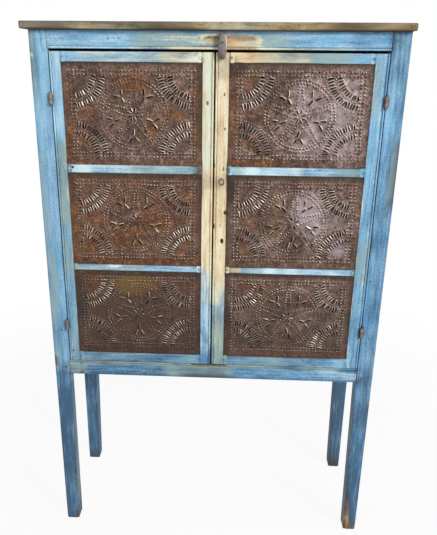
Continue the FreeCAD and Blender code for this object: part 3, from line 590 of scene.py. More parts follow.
CASE_WEAR_AND_SHADE = [
    # upper rail and its bead
    *wear_and_shade(z=(1446, 1452),
          chalk=[(-410, -190, 1, 0.45), (150, 340, 1, 0.35)],
          cream=[(-110, 24, 1, 0.8), (24, 215, 1, 0.6), (-215, -110, 1, 0.45)],
          bare=[(24, 104, 1, 0.55), (350, 428, 1, 0.4)],
          green=[(60, 350, 1, 0.62)],
          grime=[(310, 428, 1, 0.3)]),
    *wear_and_shade(z=(1455, 1481),
          tone=[(-180, -24, 6, -0.12), (-20, 20, 4, -0.16), (22, 110, 4, -0.2)],
          green=[(-180, -21, 10, 0.95)],
          bare=[(-26, 8, 3, 0.55)]),
    *wear_and_shade(z=(1456, 1480),
          chalk=[(-220, -60, 10, 0.3), (140, 240, 8, 0.28)],
          green=[(150, 240, 8, 0.35)]),
    # The first two grime rows and the first tone row here are painted shadow under the top board, with
    # dirt along the joint
    *wear_and_shade(grime=[(-480, 480, 1488, 1492, 0.5, 1.2), (-16, 10, 1476, 1485, 2, 0.55),
                 (26, 60, 1478, 1486, 3, 0.4), (-26, 6, 1468, 1481, 3, 0.42),
                 (26, 96, 1468, 1482, 3, 0.5), (22, 104, 1468, 1482, 3, 0.2),
                 (-60, 90, 1453, 1455, 1, 0.45)],
          tone=[(-480, 480, 1486, 1492, 0.5, -0.14), (-400, -200, 1452, 1480, 5, 0.08),
                (352, 428, 1455, 1482, 6, -0.18)],
          chalk=[(-410, -240, 1458, 1478, 5, 0.25), (-50, -10, 1455, 1466, 3, 0.2)],
          cream=[(-110, -21, 1455, 1476, 8, 0.42), (-24, 12, 1456, 1478, 3, 0.8),
                 (24, 100, 1453, 1476, 3, 0.88), (84, 128, 1455, 1470, 5, 0.3)],
          bare=[(30, 96, 1460, 1480, 4, 0.44)],
          green=[(84, 150, 1455, 1480, 8, 0.7)]),
    # left post
    *wear_and_shade(x=(-464, -450), tone=[(1395, 1478, 5, -0.36), (850, 1190, 6, -0.1), (540, 850, 5, -0.16)]),
    *wear_and_shade(x=(-464, -460),
          grime=[(540, 1240, 1.5, 0.45)],
          bare=[(850, 1200, 1.5, 0.32), (572, 586, 1.5, 0.55)]),
    *wear_and_shade(green=[(-464, -449, 1335, 1462, 5, 0.72), (-464, -447, 560, 1190, 6, 0.5),
                 (-450, -430, 730, 900, 8, 0.35)],
          grime=[(-464, -451, 1340, 1456, 5, 0.42), (-464, -456, 568, 590, 2, 0.5),
                 (-452, -425, 540, 572, 5, 0.25)],
          tone=[(-464, -447, 1330, 1478, 6, -0.1), (-446, -421, 1270, 1480, 4, 0.08),
                (-446, -424, 1180, 1260, 6, 0.12), (-450, -420, 536, 690, 8, -0.08)],
          bare=[(-464, -459, 1345, 1410, 2, 0.45)],
          chalk=[(-464, -458, 1427, 1436, 0.8, 0.8), (-464, -459, 1393, 1398, 0.6, 0.6)]),
    # right post
    *wear_and_shade(x=(428, 456), tone=[(960, 1160, 8, -0.18), (540, 850, 8, -0.1), (540, 700, 8, -0.08)]),
    *wear_and_shade(x=(428, 450),
          tone=[(1250, 1320, 6, 0.12), (860, 960, 8, -0.08)],
          green=[(1330, 1480, 8, 0.35)]),
    *wear_and_shade(x=(452, 476),
          green=[(560, 1490, 5, 0.28)],
          grime=[(1070, 1220, 6, 0.46)],
          tone=[(1040, 1240, 6, -0.12)]),
    *wear_and_shade(tone=[(428, 476, 536, 1482, 6, -0.08), (428, 454, 1400, 1482, 6, -0.14),
                (453, 476, 560, 1490, 5, -0.09), (428, 476, 1390, 1490, 8, -0.05),
                (450, 476, 540, 780, 6, -0.06)],
          green=[(450, 476, 1090, 1200, 8, 0.3)],
          grime=[(434, 450, 60, 560, 1.5, 0.25), (434, 456, 0, 130, 4, 0.3),
                 (470, 476, 560, 1480, 2, 0.22)],
          bare=[(434, 452, 0, 110, 4, 0.4), (471, 476, 640, 1060, 1.5, 0.55)]),
    # round the hinges: dirt and painted contact shadow
    *wear_and_shade(grime=[(-427, -412, 1306, 1318, 2, 0.5), (-427, -412, 672, 716, 2, 0.4),
                 (418, 433, 1312, 1348, 2, 0.5), (418, 438, 680, 716, 2, 0.6)]),
    # lower rail and its bead, darker throughout as painted shade of the light falling off towards the
    # floor
    *wear_and_shade(z=(572, 582),
          tone=[(-418, 428, 2, -0.1), (350, 428, 2, -0.12), (-418, 330, 2, -0.14)],
          green=[(-418, 380, 2, 0.62)]),
    *wear_and_shade(z=(536, 572), tone=[(-418, 60, 8, -0.13), (60, 240, 8, -0.06), (-418, -130, 3, -0.12)]),
    *wear_and_shade(z=(573, 582),
          bare=[(-396, -328, 2, 0.45), (-247, -198, 2, 0.45)],
          grime=[(-110, 140, 1, 0.3)]),
    *wear_and_shade(green=[(-385, -110, 540, 572, 4, 0.2), (-110, 50, 538, 572, 8, 0.6),
                 (-418, -385, 540, 572, 4, 0.66)],
          cream=[(-418, 330, 573, 580, 2, 0.36), (-80, 44, 570, 574, 2, 0.65)],
          grime=[(-50, 44, 578.5, 583, 0.7, 0.9), (-70, 40, 538, 570, 6, 0.42),
                 (-420, 430, 536, 541, 2, 0.35), (-386, -383, 540, 575, 1, 0.5)],
          tone=[(-110, 20, 538, 572, 8, -0.14)],
          chalk=[(290, 424, 545, 572, 8, 0.42)]),
]
STILE_WEAR_AND_SHADE = [
    # left hinge stile
    *wear_and_shade(x=(-418, -370),
          tone=[(1235, 1442, 6, 0.24), (1070, 1210, 8, -0.24), (583, 1000, 8, -0.07),
                (1225, 1285, 6, 0.1), (583, 660, 6, -0.14)],
          green=[(1030, 1205, 8, 0.76), (600, 1030, 8, 0.45), (870, 940, 6, 0.3)]),
    *wear_and_shade(cream=[(-394, -386, 1060, 1235, 3, 0.5), (-394, -386, 862, 935, 2, 0.45)],
          chalk=[(-400, -386, 1143, 1158, 1.5, 0.6)],
          # dirt and painted contact shadow round the hinge
          grime=[(-418, -412, 1306, 1318, 2, 0.4), (-418, -410, 672, 716, 2, 0.4)]),
    # right hinge stile
    *wear_and_shade(x=(376, 428),
          tone=[(1150, 1225, 6, 0.2), (862, 945, 6, -0.1), (583, 1230, 8, -0.1),
                (1350, 1442, 6, -0.12)]),
    *wear_and_shade(green=[(394, 413, 1290, 1418, 6, 0.55), (394, 428, 862, 955, 8, 0.58)],
          cream=[(391, 397, 1330, 1418, 2, 0.4), (391, 395, 590, 1220, 1.5, 0.4)],
          tone=[(398, 418, 1225, 1300, 6, 0.08)],
          bare=[(391, 400, 870, 950, 3, 0.3)],
          chalk=[(391, 403, 590, 650, 3, 0.55)],
          # dirt and painted contact shadow round the hinge
          grime=[(416, 428, 1312, 1348, 2, 0.4), (416, 428, 680, 716, 2, 0.5)]),
    # meeting stiles
    *wear_and_shade(x=(-50, -2),
          cream=[(905, 1442, 6, 1.0), (780, 905, 6, 0.42)],
          green=[(1165, 1442, 8, 0.66), (780, 900, 8, 0.45)],
          chalk=[(640, 885, 6, 0.46)],
          tone=[(583, 665, 6, -0.24)]),
    *wear_and_shade(x=(2, 50),
          cream=[(850, 1442, 6, 1.0), (600, 820, 6, 0.36)],
          green=[(583, 825, 8, 0.75)],
          tone=[(583, 720, 6, -0.36)]),
    *wear_and_shade(bare=[(-30, -6, 1060, 1150, 6, 0.16), (8, 26, 1190, 1400, 5, 0.12),
                (20, 36, 965, 1032, 4, 0.32), (4, 34, 1388, 1436, 5, 0.3), (4, 36, 1020, 1080, 9, 0.2),
                (-32, -6, 1080, 1150, 9, 0.12)],
          grime=[(-34, -12, 1085, 1150, 6, 0.14), (6, 34, 1380, 1428, 5, 0.52),
                 (3, 36, 1030, 1125, 9, 0.2), (-32, -6, 1085, 1150, 9, 0.28)],
          cream=[(2, 20, 800, 850, 6, 0.75)],
          green=[(20, 38, 1160, 1330, 5, 0.4)],
          tone=[(3, 36, 1020, 1140, 9, -0.14)]),
    # the meeting stiles behind the mid rails' shoulders
    *wear_and_shade(z=(1136, 1164),
          grime=[(-50, -35, 2, 0.85), (38, 41, 2, 0.7)],
          cream=[(36, 50, 2, -1.0)],
          chalk=[(36, 50, 2, 0.55)]),
    *wear_and_shade(z=(861, 887),
          cream=[(-50, -35, 2, -1.0)],
          chalk=[(-50, -35, 2, 0.5)],
          grime=[(36, 50, 2, 0.26)]),
    *wear_and_shade(grime=[(8, 36, 1106, 1134, 10, 0.3), (22, 40, 1140, 1170, 3, 0.25)]),
]
RAIL_WEAR_AND_SHADE = [
    # left door
    *wear_and_shade(z=(1414, 1441),
          green=[(-310, -30, 10, 0.66)],
          chalk=[(-330, -30, 10, 0.4)],
          cream=[(-120, -30, 10, 0.58)],
          tone=[(-390, -330, 8, 0.06), (-180, -90, 6, -0.34), (-380, -290, 6, -0.14)]),
    *wear_and_shade(z=(1138, 1162),
          chalk=[(-382, -346, 5, 0.6), (-336, -200, 6, 0.56), (-150, -50, 6, 0.4)],
          green=[(-220, -34, 8, 0.7)],
          tone=[(-220, -34, 6, -0.15), (-210, -160, 5, -0.1)]),
    *wear_and_shade(z=(861, 887),
          chalk=[(-260, -215, 5, 0.25), (-384, -34, 5, 0.32), (-170, -44, 5, 0.12)],
          green=[(-384, -200, 6, 0.75)],
          tone=[(-384, -200, 6, -0.08)]),
    # bottom rail, darker as painted shade of the light falling off towards the floor
    *wear_and_shade(z=(583, 613),
          tone=[(-320, -210, 5, -0.1), (-384, -36, 4, -0.24), (-384, -36, 5, -0.06)],
          green=[(-384, -36, 5, 0.44)]),
    *wear_and_shade(grime=[(-60, -33, 1136, 1164, 3, 0.55)],
          cream=[(-270, -120, 859, 863, 1, 0.85), (-205, -180, 884, 888, 1, 0.9)],
          bare=[(-200, -140, 859, 863, 1, 0.5)],
          chalk=[(-282, -262, 880, 888, 2, 1.1)]),
    # right door
    *wear_and_shade(z=(1138, 1162),
          chalk=[(240, 320, 6, 0.15), (40, 100, 4, 0.5), (100, 215, 4, 0.66), (222, 290, 5, 0.34)],
          tone=[(50, 392, 6, -0.14), (330, 392, 6, -0.14)],
          green=[(40, 100, 5, 0.55), (320, 392, 8, 0.62)],
          grime=[(36, 44, 2, 0.5)]),
    *wear_and_shade(z=(861, 887),
          grime=[(52, 110, 5, 0.2)],
          cream=[(34, 72, 3, 0.9)],
          green=[(66, 120, 5, 0.6)],
          chalk=[(108, 160, 4, 0.56), (160, 222, 4, 0.6), (222, 330, 5, 0.4), (330, 392, 5, 0.24)]),
    *wear_and_shade(z=(1414, 1441),
          cream=[(34, 130, 6, 0.92), (130, 225, 6, 0.6)],
          green=[(140, 300, 8, 0.75), (320, 392, 8, 0.35)],
          bare=[(90, 170, 6, 0.34)],
          tone=[(90, 250, 8, -0.18)]),
    # bottom rail, darker as painted shade of the light falling off towards the floor
    *wear_and_shade(z=(583, 613), tone=[(110, 250, 5, -0.14), (40, 330, 5, -0.24)], green=[(34, 320, 5, 0.42)]),
    *wear_and_shade(grime=[(110, 240, 1418, 1441, 5, 0.46), (34, 62, 1410, 1432, 3, 0.45),
                 (38, 74, 864, 884, 4, 0.34), (34, 46, 583, 612, 3, 0.25)],
          bare=[(38, 70, 864, 884, 3, 0.4)],
          chalk=[(334, 386, 597, 613, 3, 0.3)]),
]
# Blotches along the front edge of the top; here the layer bare is a pale bleached edge.
TOP_WEAR = [
    *wear_and_shade(z=(1488, 1510),
          grime=[(-480, -374, 8, 0.3), (-165, -58, 8, 0.46), (310, 470, 8, 0.46), (262, 312, 8, 0.42),
                 (-420, -376, 8, 0.24), (-140, -70, 8, 0.14)],
          bare=[(-350, -262, 8, 0.26), (-10, 215, 10, 0.42), (0, 50, 8, 0.2)],
          tone=[(120, 300, 10, 0.14), (-110, -50, 8, 0.1)]),
    *wear_and_shade(tone=[(-330, -300, 1490, 1506, 4, 0.3)], grime=[(33, 39, 1503, 1510, 0.5, 0.6)]),
]


def near(values, low, high, soft):
    """1 between low and high, falling to 0 over the soft distance outside them."""
    return np.clip(np.minimum(values - low, high - values) / soft + 1, 0, 1)


def spot(points, x, z, half_width, half_height):
    """1 in the middle of an ellipse on the front, fading to 0 outside it."""
    distance = np.hypot((points[:, 0] - x * MM) / (half_width * MM),
                        (points[:, 2] - z * MM) / (half_height * MM))
    return np.clip(1.6 - distance, 0, 1)


def cloudy(points, scale, shift=(0, 0, 0)):
    """Smooth noise at each point, between -1 and 1."""
    return np.array([noise.noise(Vector(place)) for place in points * scale + shift])


def add_patches(patches, points, coat):
    """Adds patches on faces near the front. Along its longer side a patch fades six times
    as slowly."""
    x, y, z = points.T / MM
    front = near(y, FRONT / MM - 20, FRONT / MM + 6, 6)
    for layer, left, right, bottom, top, soft, amount in patches:
        tall = top - bottom > right - left
        across = near(x, left, right, soft if tall else 6 * soft)
        upright = near(z, bottom, top, 6 * soft if tall else soft)
        coat[layer] += amount * front * across * upright


def paint_case(name, points, normals, coat):
    """Paint of the posts, rails and side panels."""
    x, y, z = points.T
    add_patches(CASE_WEAR_AND_SHADE, points, coat)
    drift = cloudy(points, 4.5)
    blot = cloudy(points, (11, 11, 5), (7, 0, 0))
    unseen = np.clip((y - FRONT) / (12 * MM), 0, 1)
    coat["tone"] += unseen * (0.14 * drift - 0.1 * np.clip((0.75 - z) / 0.25, 0, 1))
    coat["chalk"] += unseen * 0.75 * np.maximum(blot, 0) * (z > LEG_TOP)
    coat["green"] += unseen * (0.25 + 0.7 * np.maximum(-drift, 0))
    blot = np.where(z > LEG_TOP, blot, -0.2)
    coat["cream"] += unseen * np.maximum(blot - 0.12, 0) * 1.2
    coat["bare"] += unseen * np.maximum(blot - 0.3, 0) * 1.6
    coat["grime"] += unseen * (0.1 + 0.3 * np.maximum(-blot, 0))
    inward = (normals[:, 0] * np.sign(x) < -0.4) | (normals[:, 1] * np.sign(y) < -0.4)
    inward &= (z > LEG_TOP + 3 * MM) & (y > FRONT + 6 * MM) & (y < BACK - 6 * MM)
    coat["bare"] += np.where(inward, 1.0, 0.0)
    # The legs: darker towards the floor as painted shade of the light falling off downwards,
    # the rear left one less so as painted light against the shade it gets; dirtier towards
    # the floor and bare at the feet
    left, right, rear = x < 0, x > 0, y > 0
    legs = np.clip((LEG_TOP + 60 * MM - z) / (150 * MM), 0, 1)
    foot = np.clip(1 - z / (480 * MM), 0, 1)
    low = np.clip(1 - z / (120 * MM), 0, 1)
    coat["tone"] -= (0.46 - 0.16 * rear * left + 0.04 * left) * legs
    coat["grime"] += (0.1 + 0.34 * right) * foot ** 2 * legs * rear
    coat["grime"] += (0.16 + 0.06 * left - 0.18 * rear + 0.5 * coat["arris"]) * legs
    coat["grime"] += 0.3 * near(z, -1, 8 * MM, 45 * MM)
    coat["green"] -= 0.4 * legs * rear
    coat["bare"] += 0.32 * low + 0.25 * right * low * (y < 0)
    coat["bare"] += 0.36 * coat["arris"] * name.startswith("post")
    coat["chalk"] += 0.3 * coat["arris"]


def paint_doors(name, points, normals, coat):
    """Paint of the door frames; they are bare behind the tins and on their backs."""
    x, y, z = points.T
    add_patches(STILE_WEAR_AND_SHADE if "stile" in name else RAIL_WEAR_AND_SHADE, points, coat)
    door = name.split("_")[0]
    edges = [corner.x for part in ("hinge", "meeting")
             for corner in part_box(f"{door}_door_{part}_stile")]
    inner = near(x, min(edges) + 4 * MM, max(edges) - 4 * MM, MM)
    inner *= near(z, DOOR_LOW.z + 4 * MM, DOOR_HIGH.z - 4 * MM, MM)
    coat["bare"] += inner * np.clip((y - FRONT - 6 * MM) / (3 * MM), 0, 1)
    coat["bare"] += np.where((normals[:, 1] > 0.4) & (y > DOOR_HIGH.y - 3 * MM), 1.0, 0.0)
    coat["chalk"] += 0.5 * coat["arris"]
    coat["cream"] += 0.24 * coat["arris"]
    if name.endswith("pegs"):
        coat["grime"] += 0.1 + 0.35 * spot(points, 385.5, 1427, 9, 9)


def paint_button(name, points, normals, coat):
    """Worn pale at the tip and along the right edge; darker along the left edge, at the lower end and
    at the top under the top board, where shade is painted.
    """
    x, y, z = points.T / MM
    coat["cream"] += 0.3 * near(z, 1477, 1490, 6)
    coat["cream"] += 0.8 * near(x, 26, 40, 1.5) * near(z, 1445, 1484, 6)
    coat["bare"] += 0.34 * near(z, 1472, 1490, 6) * near(x, 0, 25, 3)
    # painted shade along the left edge and at the lower end, and a little darkening all over
    coat["grime"] += 0.5 * near(x, 0, 10, 3) + 0.45 * near(z, 1420, 1429, 7) + 0.08
    coat["grime"] += 0.3 * near(x, 12, 22, 4) * near(z, 1436, 1452, 8)
    # painted shade under the top board
    coat["grime"] += 0.3 * near(z, 1464, 1490, 5) * near(x, 0, 22, 4)
    coat["green"] += 0.55 * near(z, 1458, 1470, 5) * near(x, 8, 24, 3)
    coat["tone"] += 0.1 * near(z, 1440, 1462, 8)


def nail_stains(points):
    """1 at a nail's head and in the streak that runs down from it, fading to 0."""
    heads = {}
    for vert in nodes["case_nails"].data.vertices:
        heads.setdefault(tuple(round(value / (20 * MM)) for value in vert.co), []).append(vert.co)
    stain = np.zeros(len(points))
    for corners in heads.values():
        away = points - np.mean([tuple(corner) for corner in corners], axis=0)
        away[:, 2] = np.where(away[:, 2] < 0, away[:, 2] / 5, away[:, 2])
        stain = np.maximum(stain, np.clip(1.4 - np.linalg.norm(away, axis=1) / (8 * MM), 0, 1))
    return stain


def plain_wood(name, points, normals, coat):
    """Bare boards, each a little lighter or darker, dirty at their ends and joints."""
    x, y, z = points.T
    low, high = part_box(name)
    shade = sum(map(ord, name)) * 0.618 % 1
    drift = cloudy(points, (6, 6, 2.5), (0, 0, 5 * shade))
    coat["tone"] += 0.7 * shade - 0.35
    coat["grime"] = 3 * coat["grime"] + 0.1 * coat["arris"]
    coat["green"] += 0.2 + 0.9 * np.maximum(drift, 0)
    coat["chalk"] += 0.9 * np.maximum(-drift, 0)
    coat["cream"] += 0.9 * nail_stains(points)
    if name.startswith("back_board"):
        coat["grime"] += 0.35 * near(z, LEG_TOP, LEG_TOP + 10 * MM, 60 * MM)
        coat["grime"] += 0.3 * near(z, CASE_TOP - 15 * MM, CASE_TOP, 40 * MM)
        for edge in (low.x, high.x):
            coat["grime"] += 0.5 * near(x, edge - MM, edge + MM, 9 * MM)
    if name.startswith(("shelf", "floor")):
        coat["grime"] += 0.25 * near(y, BACK - 30 * MM, BACK, 70 * MM)


def bare_top(name, points, normals, coat):
    """Browner to the right, pale on worn edges, dirty in places, and darker along its joint with the
    case below, as painted shade under the overhang.
    """
    x, y, z = points.T / MM
    coat["tone"] = np.clip(0.34 + x / 1700, 0, 1)
    coat["bare"] = 0.5 * coat["arris"] + 0.3 * near(np.abs(x), 462, 490, 10)
    # painted shade along the underside, where the top meets the case
    coat["grime"] = 4 * coat["grime"] + 0.05 + 0.34 * near(z, 1480, 1493, 2)
    coat["grime"] += 0.16 * (name == "top_board_rear")
    coat["cream"] += 0.9 * nail_stains(points)
    add_patches(TOP_WEAR, points, coat)


# ---- Worn boards ---------------------------------------------------------------------

BOARD_STEP = 11 * MM    # between cuts along the grain
CROSS_STEP = 11 * MM    # and across it
WIDE, WIDE_STEP = 240 * MM, 24 * MM             # wider boards have coarser cuts
SUPPORT = 4 * MM              # from an edge to the first cut
ARRIS, ARRIS_ANGLE = 0.5 * MM, math.radians(50)    # width of a broken edge, and its least turn
END_ROUNDING, END_ANGLE = 6 * MM, 1.0              # the same for the top boards' ends
FOOT = 60 * MM                # height up to which arrises are worn more by the floor


def cut_along(bm, axis, place):
    """Cuts every face that crosses a plane square to one axis."""
    square = Vector([float(axis == k) for k in range(3)])
    bmesh.ops.bisect_plane(bm, geom=bm.verts[:] + bm.edges[:] + bm.faces[:], dist=1e-6,
                           plane_co=square * place, plane_no=square)


def bevel(bm, edges, width, segments):
    return bmesh.ops.bevel(bm, geom=edges, offset=width, offset_type="OFFSET",
                           segments=segments, profile=0.5, affect="EDGES", clamp_overlap=True)


def edges_above(bm, angle):
    """Edges whose two faces meet at more than an angle."""
    return [edge for edge in bm.edges
            if len(edge.link_faces) == 2 and edge.calc_face_angle(0) > angle]


def touches(point, boxes):
    """True where a neighbour's box holds or touches a point."""
    slack = 0.7 * MM
    return any(all(low[k] - slack < point[k] < high[k] + slack for k in range(3))
               for low, high in boxes)


def worn_board(name, grain, material, worn, paint, rounding=0.0):
    """Copy of a wooden node with fine cuts, broken arrises, uneven faces and the
    attributes that its material reads. worn is how far its free arrises are worn."""
    axis = "xyz".index(grain)
    low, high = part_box(name)
    bm = bmesh.new()
    bm.from_mesh(nodes[name].data)
    bmesh.ops.remove_doubles(bm, verts=bm.verts, dist=1e-6)
    bmesh.ops.dissolve_limit(bm, angle_limit=math.radians(1), verts=bm.verts, edges=bm.edges)
    if rounding:
        bevel(bm, [edge for edge in edges_above(bm, END_ANGLE)
                   if all(vert.co[axis] < low[axis] + MM for vert in edge.verts)
                   or all(vert.co[axis] > high[axis] - MM for vert in edge.verts)], rounding, 4)
    for cut in [other for other in range(3) if other != axis] + [axis]:
        width = high[cut] - low[cut]
        if width < 3 * SUPPORT:
            continue
        span = width - 2 * SUPPORT
        stride = CROSS_STEP if width < WIDE else max(CROSS_STEP, WIDE_STEP)
        count = max(1, int(span / BOARD_STEP) if cut == axis else round(span / stride))
        for place in range(count + 1):
            cut_along(bm, cut, low[cut] + SUPPORT + span * place / count)
    result = bevel(bm, edges_above(bm, ARRIS_ANGLE), ARRIS, 2)
    arris_verts = {vert for face in result["faces"] for vert in face.verts}
    bm.normal_update()
    boxes = [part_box(node) for node in WOOD if node != name and body_of[node] == body_of[name]]
    boxes = [(a, b) for a, b in boxes
             if all(a[k] - MM < high[k] and b[k] + MM > low[k] for k in range(3))]
    seed = Vector((sum(map(ord, name)) % 97, 0, 0))
    arris = {}
    for vert in bm.verts:
        place = vert.co
        stretched = Vector(place)
        stretched[axis] *= 0.3
        depth = 0.1 + 0.12 * noise.noise(stretched * 40 + seed)
        if vert in arris_verts and touches(place, boxes):
            arris[vert.index] = -0.2
        elif vert in arris_verts:
            dent = noise.noise(place * 55 + seed)
            rough = noise.noise(stretched * 210 + seed)
            depth += worn * (0.35 + 0.9 * max(0.0, dent) ** 1.3 + 0.35 * max(0.0, rough))
            depth += 1.4 * max(0.0, 1 - place.z / FOOT) ** 2
            arris[vert.index] = 0.6 + 0.8 * max(-0.4, dent)
        vert.co = place - vert.normal * max(0.0, depth) * MM
    bm.normal_update()
    mesh = bpy.data.meshes.new("worn_" + name)
    bm.to_mesh(mesh)
    bm.free()
    board = new_object("worn_" + name, mesh)
    finish_mesh(mesh, material, angle=38)
    dress(mesh, name, arris, paint)
    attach(board, body_of[name])
    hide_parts(name)
    return board


def finish_mesh(mesh, material, angle):
    """Smooth faces, sharp above an angle in degrees, and a material."""
    mesh.polygons.foreach_set("use_smooth", [True] * len(mesh.polygons))
    mesh.set_sharp_from_angle(angle=math.radians(angle))
    mesh.materials.append(material)


def write_attribute(mesh, name, *values):
    """Three numbers for each vertex."""
    layer = mesh.attributes.new(name, "FLOAT_VECTOR", "POINT")
    layer.data.foreach_set("vector", np.stack(values, 1).ravel())


def dress(mesh, name, arris, paint):
    """Writes the attributes "own", "paint" and "look" of a wooden piece."""
    count = len(mesh.vertices)
    points, normals = np.zeros((2, count * 3))
    mesh.vertices.foreach_get("co", points)
    mesh.vertices.foreach_get("normal", normals)
    edge = np.zeros(count)
    for index, value in arris.items():
        edge[index] = value
    coat = {layer: np.zeros(count) for layer in ("cream", "bare", "green", "chalk")}
    coat["tone"] = np.full(count, 0.5)
    coat["arris"] = np.maximum(edge, 0)
    coat["grime"] = np.maximum(-edge, 0)
    paint(name, points.reshape(-1, 3), normals.reshape(-1, 3), coat)
    rng = random.Random("pattern of " + name)
    write_attribute(mesh, "own", *(np.full(count, rng.uniform(-3, 3)) for _ in range(3)))
    write_attribute(mesh, "paint", coat["cream"], coat["bare"], coat["grime"])
    write_attribute(mesh, "look", coat["tone"], coat["green"], coat["chalk"])


# ---- Pierced tins --------------------------------------------------------------------

LIGHT_SIDE = (0.5, 0.87)      # painted highlight on this side of each burr, painted shade on the other


class Mark:
    """One punch: a burr raised round a hole or slit, in millimetres on the tin."""

    def __init__(self, rng, u, v, half_length, angle, reach, hole, height, shine):
        self.u = u + rng.gauss(0, 0.5)
        self.v = v + rng.gauss(0, 0.5)
        self.half_length = half_length * rng.uniform(0.8, 1.15)
        angle += rng.gauss(0, 0.12)
        self.reach = reach * rng.uniform(0.9, 1.1)
        self.hole = hole * rng.uniform(0.7, 1.2)
        self.height = height * rng.uniform(0.7, 1.15)
        # how strong the painted highlight and the rubbed shine of its lip are
        self.shine = shine * rng.uniform(0.55, 1.15)
        self.along = (math.cos(angle), math.sin(angle))
        self.is_dot = self.half_length < 1

    def offset(self, u, v):
        """Way from the line of the slit, or from the middle of a round hole."""
        du, dv = u - self.u, v - self.v
        run = du * self.along[0] + dv * self.along[1]
        run = max(-self.half_length, min(self.half_length, run))
        return du - run * self.along[0], dv - run * self.along[1]

    def distance(self, u, v):
        return math.hypot(*self.offset(u, v))

    def facing(self, u, v):
        """1 on the side of the burr toward the light, given a painted highlight, and -1 on the side
        given painted shade.
        """
        du, dv = self.offset(u, v)
        away = max(0.2, math.hypot(du, dv))
        if self.is_dot:
            return (du * LIGHT_SIDE[0] + dv * LIGHT_SIDE[1]) / away
        across = (-self.along[1], self.along[0])
        toward_light = math.copysign(1, across[0] * LIGHT_SIDE[0] + across[1] * LIGHT_SIDE[1])
        return toward_light * (du * across[0] + dv * across[1]) / away

    def ring(self, offset):
        """Closed outline at one distance round the slit or hole."""
        count = 8 if self.is_dot else 12
        points = []
        for place in range(count):
            turn = 2 * math.pi * (place + 0.5) / count
            along = offset * math.cos(turn) + math.copysign(self.half_length, math.cos(turn))
            across = offset * math.sin(turn)
            points.append((self.u + along * self.along[0] - across * self.along[1],
                           self.v + along * self.along[1] + across * self.along[0]))
        return points


def polar(centre, radius, degrees, side_u=1, side_v=1):
    """Place at an angle from a centre, mirrored where a side is -1."""
    turn = math.radians(degrees)
    return (centre[0] + side_u * radius * math.cos(turn),
            centre[1] + side_v * radius * math.sin(turn))


def punch_marks(rng, width, height):
    """The traditional pattern: a star in a ring, a fan in each corner, a dotted border."""
    marks = []
    middle = (width / 2 + 1.0, height / 2 + 0.5)
    drift = Vector((rng.uniform(0, 90), rng.uniform(0, 90), 0))

    def punch(u, v, half_length, angle, reach, hole, height, shine):
        """One mark, drifting a little from its place as work done by hand does."""
        here = Vector((u, v, 0)) / 70 + drift
        u += 2.2 * noise.noise(here)
        v += 2.2 * noise.noise(here + drift)
        shine *= 0.85 + 0.9 * noise.noise(here * 1.4 - drift)
        marks.append(Mark(rng, u, v, half_length, angle, reach, hole, height, max(0.08, shine)))

    def dot(u, v, size=1.0):
        punch(u, v, 0.5 * size, rng.uniform(0, math.pi), 3.3 * size, 1.15 * size, 1.6 * size,
              0.7)

    def slit(u, v, half_length, angle, size=1.0, shine=0.9):
        punch(u, v, half_length, angle, 3.7 * size, 1.3 * size, 2.2 * size, shine)

    # double border
    for inset in (20.0, 29.5):
        across, upright = width - 2 * inset, height - 2 * inset
        count = int(across / 8.6)
        for place in range(count):
            u = inset + across * place / count
            dot(u, height - inset)
            dot(width - u, inset)
        count = int(upright / 8.6)
        for place in range(count):
            v = inset + upright * place / count
            dot(inset, v)
            dot(width - inset, height - v)

    # double ring
    for radius in (80.0, 88.5):
        count = int(2 * math.pi * radius / 7.8)
        for place in range(count):
            dot(*polar(middle, radius, 360 * place / count))

    # star of dots, slits between its points and in its middle
    for tip in (90, 162, 234, 306, 18):
        for side in (-1, 1):
            for place in range(8):
                spine = polar(middle, 21 + 7.3 * place, tip)
                dot(*polar(spine, side * (9.0 - 0.75 * place), tip + 90), 0.95)
        gap = tip + 36
        slit(*polar(middle, 44, gap), 5.2, math.radians(gap), 1.15)
        for side in (-1, 1):
            slit(*polar(middle, 62.5, gap + side * 8.5), 5.4, math.radians(gap + side * 32), 1.15)
    for place in range(8):
        turn = 22.5 + 45 * place
        slit(*polar(middle, 11.5, turn), 3.6, math.radians(turn), 0.9)

    # fans: two arcs of slits, then two of dots, which have no half length
    for side_u, side_v in ((1, 1), (1, -1), (-1, 1), (-1, -1)):
        centre = (24 if side_u > 0 else width - 24, 24 if side_v > 0 else height - 24)
        # painted highlights are stronger in the fans toward the upper right, where the light comes
        # from
        shine = 1.02 - 0.12 * side_v - 0.05 * side_u
        for radius, half_length in ((58.0, 4.6), (81.0, 5.4), (69.5, 0), (93.0, 0)):
            first, spread, pitch = (5, 80, 7.6) if half_length else (8, 74, 7.4)
            count = int(math.pi / 2 * radius / pitch)
            for place in range(count):
                degrees = first + spread * (place + 0.5) / count
                u, v = polar(centre, radius, degrees, side_u, side_v)
                if half_length:
                    turn = math.radians(degrees)
                    angle = math.atan2(side_v * math.sin(turn), side_u * math.cos(turn))
                    slit(u, v, half_length, angle, 1, shine)
                else:
                    dot(u, v, 0.72)
    return marks


